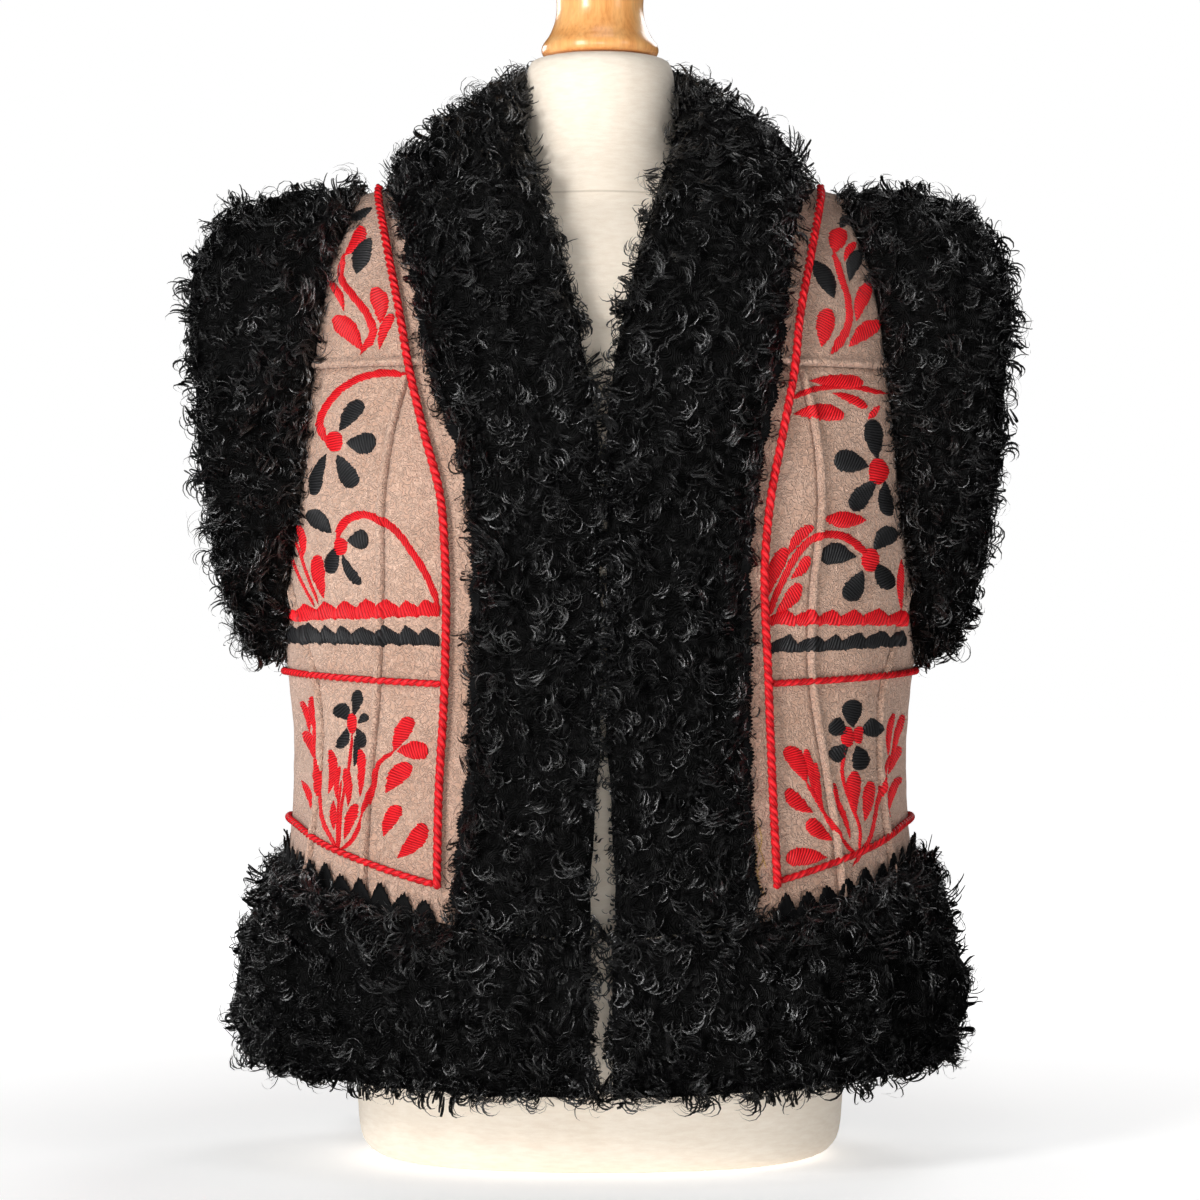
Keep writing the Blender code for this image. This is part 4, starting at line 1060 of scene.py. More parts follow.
def fur_envelope(inner, outer, stands, normals, bow, fullness):
    """Sections of the fur between its two edges: rows along, points round; turn 0 is the inner edge."""
    turn = np.linspace(0, 2 * math.pi, FUR_AROUND, endpoint=False)
    share = ((1 - np.cos(turn)) / 2)[None, :, None]
    base = inner[:, None] * (1 - share) + outer[:, None] * share
    base = base + normals[:, None] * bow * 4 * share * (1 - share)
    full = np.abs(np.sin(turn)) ** fullness
    lift = np.where(np.sin(turn) > 0, stands[:, None], -FUR_BACK) * full
    return base + normals[:, None] * lift[..., None], turn


def ring_normals(points, closed):
    """Outward normals of a tube of sections."""
    if closed:
        along = np.roll(points, -1, 0) - np.roll(points, 1, 0)
    else:
        along = np.gradient(points, axis=0)
    around = np.roll(points, -1, 1) - np.roll(points, 1, 1)
    normal = unit(np.cross(around, along))
    centre = points.mean(1, keepdims=True)
    flip = np.sign((normal * (points - centre)).sum(-1).mean())
    return normal * (flip or 1)


CURL_DEPTH = 0.0120
RIBBON_TILT = 0.9
LOCK_STEPS = 7
WISP_STEPS = 6


def ribbons(root, up, first, axis, length, turning, drift, width, steps, squeeze):
    """Curled ribbons as helices. Every argument but steps has one row for each ribbon."""
    u = np.linspace(0, 1, steps + 1)[None, :]
    angle = turning[:, None] * u
    radius = (length / turning)[:, None] * (1 - squeeze * u)
    side_way = np.cross(axis, first)
    swing = np.sin(angle)[..., None] * first[:, None] + (1 - np.cos(angle))[..., None] * side_way[:, None]
    path = root[:, None] + radius[..., None] * swing + (drift[:, None] * u)[..., None] * axis[:, None]
    way = unit(np.gradient(path, axis=1))
    outwards = np.sin(angle)[..., None] * first[:, None] - np.cos(angle)[..., None] * side_way[:, None]
    face = perpendicular(0.75 * outwards + 0.65 * up[:, None], way)
    across = np.cross(way, face)
    taper = np.minimum(1, 0.45 + 2.2 * u) * (1 - u**2.5 * 0.9)
    half = (width[:, None] * taper / 2)[..., None] * across
    vertices = np.stack([path - half, path + half], 2)
    normals = np.stack([unit(face - RIBBON_TILT * across), unit(face + RIBBON_TILT * across)], 2)
    count = len(root)
    row = np.arange(count)[:, None] * (steps + 1) * 2 + np.arange(steps)[None] * 2
    faces = np.stack([row, row + 1, row + 3, row + 2], -1).reshape(-1, 4)
    shift = np.random.default_rng(count).uniform(0, 5, count)[:, None]
    lines = (width * 1000)[:, None]
    across_uv = np.stack([np.zeros_like(angle) + shift, lines + shift + 0 * angle], 2)
    along = np.repeat((u * length[:, None] * 100)[..., None], 2, 2)
    uv = np.stack([across_uv, along], -1)
    return vertices.reshape(-1, 3), faces, uv.reshape(-1, 2), normals.reshape(-1, 3)


def perpendicular(vector, axis):
    return unit(vector - (vector * axis).sum(-1, keepdims=True) * axis)


LOCK_TUFTS = 6
BALL = 0.55
BALL_SINK = 0.003
LOCK_APART = 0.00125
LOCK_LONG, LOCK_TURN, LOCK_WIDE = (0.019, 0.039), (2.8, 5.6), (0.0009, 0.0021)
WISP_LONG, WISP_TURN, WISP_WIDE = (0.020, 0.034), (2.2, 5.2), (0.0006, 0.0010)
LOCK_LEAN = (0.05, 1.35)
LOCK_DROOP = 0.75
# middle and spread of how far a lock drifts along its own axis
LOCK_DRIFT = (0.002, 0.003)
LOCK_SQUEEZE = 0.30
TUFT_TWIST, TUFT_FAN, TUFT_STRAY, TUFT_SLIDE, TUFT_DRIFT = 0.11, 0.16, 0.0009, 0.0022, 0.0014
TUFT_LONG, TUFT_TURN = (0.65, 1.15), (0.82, 1.18)
WISP_TWIST, WISP_RISE, WISP_LIFT, WISP_STRAY, WISP_DRIFT = 0.30, 0.6, 0.0020, 0.002, 0.0035
WISP_SQUEEZE = 0.2


def rounded(part, centres, steps):
    """The part with its shading turned towards that of a ball about each lock's centre."""
    vertices, faces, uv, normals = part
    middle = np.repeat(centres, (steps + 1) * 2, axis=0)
    return vertices, faces, uv, unit((1 - BALL) * normals + BALL * unit(vertices - middle))


def grow(rng, roots, normals, runs, reach, tufts, stand):
    """Curled locks: in each some tufts of hair side by side and a hook that stands out.

    Roots, normals, runs and reach have one row for each lock.
    """
    count = len(roots)
    side_way = np.cross(normals, runs)
    heading = rng.uniform(0, 2 * math.pi, count)[:, None]
    tangent = np.cos(heading) * runs + np.sin(heading) * side_way
    tangent = perpendicular(unit(tangent + np.array([0, 0, -LOCK_DROOP])), normals)
    lean = rng.uniform(*LOCK_LEAN, count)[:, None]
    hand = rng.choice([-1.0, 1.0], count)[:, None]
    axis = unit(hand * np.cross(normals, tangent) * np.cos(lean) + normals * np.sin(lean))
    rise = rng.uniform(*stand, count)[:, None]
    first = perpendicular(tangent + normals * rise, axis)
    length = rng.uniform(*LOCK_LONG, count) * reach
    turning = rng.uniform(*LOCK_TURN, count)
    drift = rng.normal(*LOCK_DRIFT, count) * reach
    pick = np.repeat(np.arange(count), tufts)
    order = np.tile(np.arange(tufts) - (tufts - 1) / 2, count)[:, None]
    many = len(pick)
    ax = unit(axis[pick] + rng.normal(0, TUFT_TWIST, (many, 3)))
    start = perpendicular(first[pick] + rng.normal(0, TUFT_FAN, (many, 3)), ax)
    across = unit(np.cross(first, normals) + 0.35 * axis)
    place_of = roots[pick] + across[pick] * order * LOCK_APART + rng.normal(0, TUFT_STRAY, (many, 3))
    place_of = place_of + tangent[pick] * rng.normal(0, TUFT_SLIDE, (many, 1))
    long = length[pick] * rng.uniform(*TUFT_LONG, many)
    turns = turning[pick] * rng.uniform(*TUFT_TURN, many)
    width = rng.uniform(*LOCK_WIDE, many)
    drifts = drift[pick] + rng.normal(0, TUFT_DRIFT, many)
    tuft = ribbons(
        place_of, normals[pick], start, ax, long, turns, drifts, width, LOCK_STEPS, LOCK_SQUEEZE
    )
    centres = roots - normals * BALL_SINK + tangent * BALL_SINK
    parts = [rounded(tuft, centres[pick], LOCK_STEPS)]
    ax = unit(axis + rng.normal(0, WISP_TWIST, (count, 3)))
    way = perpendicular(first + normals * WISP_RISE, ax)
    place_of = roots + normals * WISP_LIFT + rng.normal(0, WISP_STRAY, (count, 3))
    long = rng.uniform(*WISP_LONG, count) * reach
    turns = rng.uniform(*WISP_TURN, count)
    width = rng.uniform(*WISP_WIDE, count)
    drifts = rng.normal(0, WISP_DRIFT, count)
    parts.append(
        ribbons(place_of, normals, way, ax, long, turns, drifts, width, WISP_STEPS, WISP_SQUEEZE)
    )
    return parts


def joined(parts):
    """Vertices, faces, UVs and normals of several parts as one set of arrays."""
    vertices, faces, uvs, normals, count = [], [], [], [], 0
    for part in parts:
        vertices.append(part[0])
        faces.append(part[1] + count)
        uvs.append(part[2])
        normals.append(part[3])
        count += len(part[0])
    return np.concatenate(vertices), np.concatenate(faces), np.concatenate(uvs), np.concatenate(normals)


CLUMP = 0.0100
BACK_CLUMP = 0.0120
FRINGE_STEP = 0.0046
FRINGE_TUFTS = 3
FRINGE_STAND = (0.8, 2.6)
LOCK_STAND = (0.30, 1.35)
END_REACH = 0.5
ARM_ROUND, ARM_SWELL = 0.80, 1.28
HEM_ROUND, HEM_SWELL = 0.72, 1.12
END_LOCKS = 26
CLOSED_REACH = 0.38
CLOSED_TURN = 0.55
CLUMP_STRAY = 0.45
CLUMP_SHARE = (0.1, 0.9)
FRINGE_SWAY = 0.30
FRINGE_FLARE = 0.8
END_FLARE = 0.35
END_SPREAD = (0.05, 0.9)
OUTER_FULL = 1.15
FUR_STEP = 0.0055
FUR_AROUND = 34
BAND_BOW = 0.003
HEM_AROUND = 36
HEM_ROWS = 56
BACK_HEM_ROWS = 140
# height and size of the lumps of the pile
LUMPS = ((0.0042, 0.019), (0.0030, 0.045))
# first and last turn round a section where locks stand
BAND_ARC = (-0.45, math.pi + 0.50)
ARM_ARC = (-0.45, math.pi + 0.70)
HEM_ARC = (-0.50, math.pi + 0.60)
# turn and reach of each fringe along an edge
BAND_FRINGE = ((math.pi - 0.08, 0.85), (0.08, 0.6))
ARM_FRINGE = ((0.08, 0.85), (math.pi - 0.20, 1.0), (math.pi + 0.25, 1.0))
HEM_FRINGE = ((0.06, 0.7), (math.pi - 0.05, 1.0))
# turn of a free edge and how much of the depth of the curls is taken there
OUTER_FREE = (math.pi, 0.8)
INNER_FREE = (0.0, 0.3)
NOWHERE = -1.0
SEEDS = {"band_right": 11, "collar_back": 12, "band_left": 13, "armhole_left": 21, "armhole_right": 22}
SEEDS |= {"hem_left": 31, "hem_right": 32, "hem_back": 33}


def add_pile(name, base, closed, sign):
    """The dark body of a piece of fur, with a cap at each end unless it closes on itself."""
    rows, around = base.shape[:2]
    faces = grid_quads(rows + 1 if closed else rows, around, wrap=True)
    if closed:
        faces = np.where(faces >= rows * around, faces - rows * around, faces)
    vertices = base.reshape(-1, 3)
    blocks = [faces]
    if not closed:
        middles = np.stack([base[0].mean(0), base[-1].mean(0)])
        vertices = np.concatenate([vertices, middles])
        ring = np.arange(around)
        ahead = (ring + 1) % around
        last = (rows - 1) * around
        blocks.append(np.stack([ahead, ring, np.full(around, rows * around)], -1))
        blocks.append(np.stack([last + ring, last + ahead, np.full(around, rows * around + 1)], -1))
    if sign < 0:
        blocks = [block[:, ::-1] for block in blocks]
    return add_mesh(name + "_pile", vertices * np.array([sign, 1, 1]), blocks, FUR_BASE_LOOK)


def clump_places(rng, walked, total, base, turn, closed, arc, clump):
    """Rows and turns of the clumps, on even steps along and round the outside of a piece."""
    rows = len(base)
    count = max(3, round(total / clump))
    steps = (np.arange(count) + 0.5) / count * total
    if not closed:
        steps = np.concatenate([[total * TINY], steps, [total * (1 - TINY)]])
    row_of, angles = [], []
    for at in steps:
        row = np.interp(at, walked, np.arange(rows)) if at <= walked[-1] else rows - 1
        ring_step = np.linalg.norm(np.diff(base[int(row)], axis=0), axis=-1)
        outside = (turn[:-1] > arc[0]) & (turn[:-1] < arc[1])
        number = max(3, round(ring_step[outside].sum() / clump))
        shares = (np.arange(number) + rng.uniform(*CLUMP_SHARE, number)) / number
        angles.append(arc[0] + (arc[1] - arc[0]) * shares)
        strays = rng.uniform(-CLUMP_STRAY, CLUMP_STRAY, number) * clump / max(total / rows, TINY)
        row_of.append(np.clip(row + strays, 0, rows - 1))
    row_of, angles = np.concatenate(row_of), np.concatenate(angles)
    return row_of, angles, np.ones(len(row_of))


def fringe_places(rng, total, rows, fringe):
    """Rows, turns and reach of the longer locks along the edges of a piece."""
    row_of, angles, reaches = [], [], []
    for edge_turn, edge_reach in fringe:
        number = round(total / FRINGE_STEP)
        row_of.append((np.arange(number) + rng.uniform(0, 1, number)) / number * (rows - 1))
        angles.append(edge_turn + rng.uniform(-FRINGE_SWAY, FRINGE_SWAY, number))
        reaches.append(np.full(number, edge_reach))
    return np.concatenate(row_of), np.concatenate(angles), np.concatenate(reaches)


def grow_at(rng, places, base, normals, runs, tufts, free_from):
    """Locks at rows and turns of a piece, short where two pieces meet."""
    row_of, angles, reaches = places
    around = base.shape[1]
    low = np.floor(row_of).astype(int)
    column = (angles / (2 * math.pi) * around) % around
    left = np.floor(column).astype(int) % around
    right = (left + 1) % around
    part = (column - np.floor(column))[:, None]
    root = base[low, left] * (1 - part) + base[low, right] * part
    way = unit(normals[low, left] * (1 - part) + normals[low, right] * part)
    if tufts == FRINGE_TUFTS:
        way = unit(way + FRINGE_FLARE * unit(root - base[low].mean(1)))
    run = perpendicular(runs[low, left], way)
    closed_up = (angles < CLOSED_TURN) & (root[:, 2] < free_from)
    reaches = np.where(closed_up, reaches * CLOSED_REACH, reaches)
    if tufts == FRINGE_TUFTS:
        root, way, run, reaches = (a[~closed_up] for a in (root, way, run, reaches))
    stand = FRINGE_STAND if tufts == FRINGE_TUFTS else LOCK_STAND
    return grow(rng, root, way, run, reaches, tufts, stand)


def grow_end(rng, base):
    """Locks over the open end of a piece."""
    out_way = (base[0] - base[1]).mean(0)
    out_way = out_way / np.linalg.norm(out_way)
    ring, centre = base[0], base[0].mean(0)
    pick = rng.integers(0, base.shape[1], END_LOCKS)
    share = np.sqrt(rng.uniform(*END_SPREAD, END_LOCKS))[:, None]
    root = centre + (ring[pick] - centre) * share
    way = unit(out_way + END_FLARE * unit(ring[pick] - centre))
    run = perpendicular(ring[pick] - centre, way)
    return grow(rng, root, way, run, np.full(END_LOCKS, END_REACH), LOCK_TUFTS, LOCK_STAND)


def add_fur(
    name,
    envelope,
    closed,
    sign,
    arc,
    fringe,
    open_start=False,
    clump=CLUMP,
    free=OUTER_FREE,
    free_from=NOWHERE,
):
    """The dark body of a piece of fur and its curls, as one mesh for each."""
    seed = SEEDS[name]
    rng = np.random.default_rng(seed)
    points, turn = envelope
    normals = ring_normals(points, closed)
    x, y, z = points[..., 0], points[..., 1], points[..., 2]
    lumps = sum(tall * swell(x, y, z, seed + i, size) for i, (tall, size) in enumerate(LUMPS))
    edge, share = free
    outer_side = np.maximum(np.clip(np.sin(turn) * OUTER_FULL, 0, 1), share * np.cos(turn - edge))[None]
    base = points - normals * (outer_side * (CURL_DEPTH - lumps))[..., None]
    body = add_pile(name, base, closed, sign)
    runs = unit(np.roll(points, -1, 0) - points)
    if not closed:
        runs[-1] = runs[-2]
    middle = points.mean(1)
    walked = walked_along(middle)
    total = walked[-1] + (np.linalg.norm(middle[0] - middle[-1]) if closed else 0)
    clumps = clump_places(rng, walked, total, base, turn, closed, arc, clump)
    edges = fringe_places(rng, total, len(base), fringe)
    parts = grow_at(rng, clumps, base, normals, runs, LOCK_TUFTS, free_from)
    parts += grow_at(rng, edges, base, normals, runs, FRINGE_TUFTS, free_from)
    if open_start:
        parts += grow_end(rng, base)
    vertices, faces, uv, shades = joined(parts)
    flip = np.array([sign, 1, 1])
    if sign < 0:
        faces = faces[:, ::-1]
    curls = add_mesh(name + "_curls", vertices * flip, faces, FUR_LOOK, uv, shades * flip)
    for piece in (body, curls):
        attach(piece, "root")
    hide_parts(name)


def add_bands_and_collar():
    halves = []
    for side, sign in SIDES.items():
        band, collar = band_edges(side), collar_edges(side)
        both = [np.concatenate([low, high[1:]]) for low, high in zip(band, collar)]
        halves.append([both[0] * (sign, 1, 1), both[1] * (sign, 1, 1), both[2]])
    left, right = halves
    inner, outer, stands = (np.concatenate([a, b[-2::-1]]) for a, b in zip(right, left))
    normals = strip_frame(inner, outer, False)
    shoulder = len(band[0]) - 1
    cuts = (0, shoulder, len(inner) - 1 - shoulder, len(inner) - 1)
    for name, start, end in zip(("band_right", "collar_back", "band_left"), cuts, cuts[1:]):
        part = slice(start, end + 1)
        lines = even_run([inner[part], outer[part], stands[part], normals[part]])
        envelope = fur_envelope(*lines[:3], unit(lines[3]), BAND_BOW, FUR_FULLNESS)
        add_fur(name, envelope, False, 1, BAND_ARC, BAND_FRINGE, free=INNER_FREE, free_from=OPENING_TOP)


def add_armhole(side):
    loop = armhole_loop(side)
    edge = body_point(loop[:, 0], loop[:, 1])
    height = ARM_MIDDLE + (edge[:, 2] - ARM_MIDDLE) * ARM_RIM_TALL
    rim = np.stack([smooth(ARM_RIM, 1, height), edge[:, 1] * ARM_RIM_DEEP, height], -1)
    stands = smooth(ARM_FUR, 1, edge[:, 2])
    lines = even_run([edge, rim, stands], closed=True)
    normals = strip_frame(lines[0], lines[1], True)
    envelope = fur_envelope(lines[0], lines[1], lines[2] * ARM_SWELL, normals, 0.0, ARM_ROUND)
    name = "armhole_" + side
    add_fur(name, envelope, True, SIDES[side], ARM_ARC, ARM_FRINGE)


def add_hem(name, q, sign, open_start=False, clump=CLUMP):
    turn = np.linspace(0, 2 * math.pi, HEM_AROUND, endpoint=False)
    top = level(HEM_TOP, HEM_TOP_RISE, q)[:, None] - GAP
    foot = level(HEM_FOOT, HEM_FOOT_RISE, q)[:, None]
    height = top + (foot - top) * (1 - np.cos(turn)) / 2
    grid = np.broadcast_to(q[:, None], height.shape)
    v = at_height(grid, height)
    full = np.abs(np.sin(turn)) ** HEM_ROUND
    lift = np.where(np.sin(turn) > 0, HEM_FUR * HEM_SWELL, -FUR_BACK) * full
    points = body_point(grid, v) + body_normal(grid, v) * lift[..., None]
    add_fur(name, (points, turn), False, sign, HEM_ARC, HEM_FRINGE, open_start, clump)


add_bands_and_collar()
for side, sign in SIDES.items():
    add_armhole(side)
    start = place(HEM_GAP[side], HEM_TOP)[0]
    seam = side_seam(side)[0, 0]
    add_hem("hem_" + side, np.linspace(start, seam, HEM_ROWS), sign, True)
seams = side_seam("right")[0, 0], 2 * math.pi - side_seam("left")[0, 0]
add_hem("hem_back", np.linspace(*seams, BACK_HEM_ROWS), 1, clump=BACK_CLUMP)

# ---- Dress form and its cap


TURNED_ROWS = 64
TURNED_AROUND = 80
FORM_VOXEL = 0.0068


def add_turned(name, profile, material):
    fine = []
    rows = np.array(profile)
    length = walked_along(rows)
    for at in np.linspace(0, length[-1], TURNED_ROWS):
        fine.append((np.interp(at, length, rows[:, 0]), np.interp(at, length, rows[:, 1])))
    fine = np.array(fine)
    for _ in range(3):
        fine[1:-1] = (fine[:-2] + 2 * fine[1:-1] + fine[2:]) / 4
    angle = np.linspace(0, 2 * math.pi, TURNED_AROUND, endpoint=False)
    heights = np.repeat(fine[:, 1:], TURNED_AROUND, 1)
    points = np.stack([fine[:, :1] * np.cos(angle), fine[:, :1] * np.sin(angle), heights], -1)
    faces = grid_quads(len(fine), TURNED_AROUND, wrap=True)
    return add_mesh(name, points.reshape(-1, 3), faces[:, ::-1], material)


def add_form():
    columns = np.linspace(-math.pi, math.pi, 120, endpoint=False)
    ridge = RIDGE - SUEDE - 2 * GAP
    edge = np.array([0, 0.04, 0.15, 0.3, 0.5, 0.75, 1]) * BASE_EDGE
    low = np.linspace(BASE_EDGE + 0.01, CHEST, 60)
    rows = np.concatenate([2 - np.concatenate([edge, low]) / CHEST, np.linspace(0.98, 0, 40)])
    q, v = np.meshgrid(columns, rows)
    points = section_point(q, v, FORM, ridge, (2, 2))
    near = np.clip(1 - points[..., 2] / BASE_EDGE, 0, 1)
    inset = BASE_EDGE * (1 - np.sqrt(1 - near**2))
    points[..., :2] *= 1 - (inset / FORM[0][1])[..., None]
    count = len(columns)
    middle = np.array([[0, 0, 0.0]])
    ring = np.arange(count)
    cap = np.stack([(ring + 1) % count, ring, np.full(count, len(rows) * count)], -1)
    vertices = np.concatenate([points.reshape(-1, 3), middle])
    torso = add_mesh("torso", vertices, [grid_quads(len(rows), count, wrap=True), cap], FORM_LOOK)
    neck = add_turned("neck", NECK_PROFILE, FORM_LOOK)
    mesh = bmesh.new()
    mesh.from_mesh(torso.data)
    mesh.from_mesh(neck.data)
    bmesh.ops.remove_doubles(mesh, verts=mesh.verts, dist=1e-5)
    bmesh.ops.dissolve_degenerate(mesh, edges=mesh.edges, dist=1e-5)
    bmesh.ops.recalc_face_normals(mesh, faces=mesh.faces)
    mesh.to_mesh(torso.data)
    mesh.free()
    bpy.data.objects.remove(neck)
    torso.name = "dress_form"
    fuse = torso.modifiers.new("fuse", "REMESH")
    fuse.mode = "VOXEL"
    fuse.voxel_size = FORM_VOXEL
    fuse.use_smooth_shade = True
    ease = torso.modifiers.new("ease", "SMOOTH")
    ease.factor = 0.5
    ease.iterations = 3
    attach(torso, "root")
    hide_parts("form_body")


add_form()
cap_piece = add_turned("turned_cap", CAP_PROFILE, WOOD_LOOK)
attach(cap_piece, "root")
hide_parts("neck_cap")

# ---- Embroidery: satin stitch in red and black, its places read off the photo

MM = 0.001
THREAD = 0.0018
SATIN_ACROSS = 6
SATIN_RISE = 0.0018
SATIN_SINK = 0.0005
RAGGED = 0.00052
RAGGED_WIDE = 0.0070
THREAD_CROWN = 0.40
FLOSS = {"red": RED_LOOK, "black": BLACK_LOOK}

# side, colour, shape, distance from the middle and height of the root, the way that the tip points
# (0 to the side, 90 up, 180 to the middle), length, width
PETALS = (
    # left yoke: a budding spray
    ("left", "black", "leaf", 176, 650, 160, 20, 8),
    ("left", "red", "drop", 175, 622, 120, 24, 10),
    ("left", "black", "leaf", 166, 608, 110, 26, 12),
    ("left", "red", "drop", 148, 572, 80, 26, 12),
    ("left", "red", "drop", 148, 554, 110, 26, 8),
    ("left", "red", "drop", 160, 554, 50, 32, 13),
    ("left", "red", "leaf", 174, 582, 60, 28, 6),
    # left front: upper flower
    ("left", "black", "drop", 176, 500, 130, 24, 11),
    ("left", "black", "drop", 171, 492, 180, 20, 13),
    ("left", "black", "drop", 177, 484, 240, 24, 12),
    ("left", "black", "drop", 185, 485, 290, 28, 9),
    ("left", "red", "oval", 179, 486, 90, 14, 13),
    # left front: second flower
    ("left", "black", "drop", 181, 431, 40, 22, 11),
    ("left", "black", "drop", 170, 426, 180, 14, 12),
    ("left", "black", "drop", 177, 422, 290, 18, 10),
    ("left", "black", "drop", 173, 417, 240, 24, 8),
    ("left", "red", "oval", 175, 416, 90, 12, 10),
    ("left", "red", "leaf", 203, 415, 80, 26, 6),
    ("left", "red", "drop", 187, 387, 80, 30, 10),
    # left front: the large spray
    ("left", "black", "drop", 165, 308, 100, 18, 8),
    ("left", "black", "drop", 169, 305, 60, 12, 10),
    ("left", "black", "drop", 162, 303, 140, 9, 6),
    ("left", "black", "drop", 163, 300, 250, 14, 8),
    ("left", "black", "drop", 170, 300, 290, 15, 8),
    ("left", "red", "oval", 166, 296, 90, 14, 8),
    ("left", "black", "leaf", 164, 274, 90, 21, 5),
    ("left", "red", "drop", 192, 293, 80, 28, 8),
    ("left", "red", "drop", 200, 296, 70, 22, 6),
    ("left", "red", "drop", 194, 277, 60, 22, 10),
    ("left", "red", "leaf", 193, 262, 100, 14, 4),
    ("left", "red", "leaf", 197, 243, 60, 22, 6),
    ("left", "red", "drop", 138, 285, 120, 26, 11),
    ("left", "red", "drop", 136, 285, 180, 22, 12),
    ("left", "red", "drop", 143, 257, 130, 26, 12),
    ("left", "red", "drop", 145, 228, 120, 24, 10),
    ("left", "red", "drop", 135, 214, 130, 30, 12),
    ("left", "red", "drop", 181, 255, 92, 30, 7),
    ("left", "red", "drop", 174, 250, 92, 24, 4),
    ("left", "red", "drop", 167, 247, 84, 26, 6),
    ("left", "red", "drop", 159, 254, 88, 32, 8),
    ("left", "red", "leaf", 177, 231, 90, 20, 5),
    ("left", "red", "drop", 170, 225, 110, 26, 8),
    # right yoke: a budding spray
    ("right", "black", "leaf", 165, 642, 50, 15, 7),
    ("right", "red", "drop", 160, 623, 70, 19, 13),
    ("right", "red", "drop", 167, 617, 60, 17, 6),
    ("right", "black", "leaf", 158, 590, 120, 29, 12),
    ("right", "black", "drop", 170, 603, 70, 23, 9),
    ("right", "red", "drop", 174, 575, 70, 30, 10),
    ("right", "red", "drop", 168, 557, 40, 29, 11),
    ("right", "red", "drop", 149, 556, 80, 27, 13),
    # right front: below the yoke
    ("right", "red", "drop", 140, 533, 0, 38, 10),
    ("right", "red", "drop", 156, 525, 340, 26, 7),
    ("right", "red", "drop", 129, 510, 0, 35, 11),
    ("right", "red", "leaf", 181, 508, 50, 13, 5),
    # right front: upper flower
    ("right", "black", "drop", 188, 481, 100, 26, 12),
    ("right", "black", "drop", 182, 476, 170, 24, 14),
    ("right", "black", "drop", 187, 468, 230, 26, 12),
    ("right", "black", "drop", 193, 467, 280, 23, 10),
    ("right", "red", "oval", 188, 464, 90, 18, 15),
    # right front: second flower
    ("right", "red", "leaf", 149, 440, 0, 31, 11),
    ("right", "black", "drop", 185, 419, 40, 21, 12),
    ("right", "black", "drop", 173, 415, 180, 24, 13),
    ("right", "black", "drop", 177, 406, 240, 22, 13),
    ("right", "black", "drop", 186, 411, 310, 20, 12),
    ("right", "red", "oval", 183, 405, 90, 16, 13),
    ("right", "red", "drop", 112, 388, 70, 35, 10),
    ("right", "red", "drop", 125, 415, 50, 27, 8),
    ("right", "red", "drop", 127, 400, 50, 20, 8),
    ("right", "red", "drop", 117, 377, 50, 26, 10),
    ("right", "red", "leaf", 206, 380, 90, 34, 6),
    # right front: the large spray
    ("right", "black", "drop", 169, 300, 90, 18, 12),
    ("right", "black", "drop", 165, 296, 140, 13, 11),
    ("right", "black", "drop", 174, 297, 20, 14, 12),
    ("right", "black", "drop", 165, 289, 220, 14, 10),
    ("right", "black", "drop", 171, 288, 280, 16, 12),
    ("right", "red", "oval", 165, 287, 90, 14, 9),
    ("right", "red", "oval", 173, 289, 90, 12, 8),
    ("right", "red", "drop", 138, 264, 120, 28, 12),
    ("right", "red", "drop", 142, 258, 100, 29, 6),
    ("right", "red", "drop", 149, 246, 100, 32, 6),
    ("right", "red", "drop", 142, 244, 140, 24, 10),
    ("right", "red", "drop", 155, 225, 140, 22, 10),
    ("right", "red", "drop", 152, 214, 180, 29, 12),
    ("right", "red", "drop", 164, 240, 110, 25, 5),
    ("right", "red", "drop", 166, 225, 110, 33, 4),
    ("right", "red", "drop", 169, 242, 90, 29, 10),
    ("right", "red", "drop", 176, 237, 80, 27, 10),
    ("right", "red", "drop", 198, 280, 80, 29, 6),
    ("right", "red", "drop", 200, 277, 70, 32, 6),
    ("right", "red", "drop", 198, 267, 60, 21, 8),
    ("right", "red", "drop", 194, 238, 60, 30, 8),
)
# side, width, then distances from the middle and heights along the stem
STEMS = (
    ("left", 4.8, ((176, 622), (177, 607), (168, 593), (157, 578), (153, 567), (160, 552))),
    ("left", 4.8, ((128, 537), (148, 538), (169, 532), (184, 519), (190, 505), (184, 493))),
    ("left", 4.6, ((106, 379), (115, 401), (126, 419), (140, 435), (161, 443), (172, 438), (177, 426))),
    ("left", 2.0, ((212, 416), (205, 401), (194, 382))),
    ("left", 2.0, ((208, 427), (200, 405), (191, 384))),
    ("left", 3.2, ((174, 216), (183, 233), (189, 256), (190, 276), (196, 297))),
    ("left", 3.2, ((174, 216), (164, 226), (157, 242), (151, 259), (147, 277), (137, 286))),
    ("left", 2.0, ((174, 216), (171, 250), (167, 275), (166, 296))),
    ("left", 1.6, ((175, 218), (174, 241), (172, 264))),
    ("right", 4.8, ((160, 623), (164, 606), (168, 592), (168, 572), (163, 562), (155, 553))),
    ("right", 4.0, ((127, 521), (143, 527), (168, 530), (194, 526))),
    ("right", 4.6, ((111, 374), (120, 395), (130, 414), (141, 426), (155, 430), (170, 426), (181, 414))),
    ("right", 2.4, ((163, 287), (161, 270), (166, 250), (172, 231), (172, 216))),
    ("right", 3.6, ((168, 208), (181, 227), (188, 250), (193, 267), (199, 279))),
    ("right", 2.8, ((171, 213), (157, 231), (147, 248), (138, 264))),
)
GOLD = (
    ("right", 0.9, ((104, 240), (107, 226), (103, 212), (106, 198))),
    ("right", 0.9, ((108, 214), (104, 203), (109, 190))),
    ("right", 0.8, ((102, 232), (106, 221), (110, 208))),
)
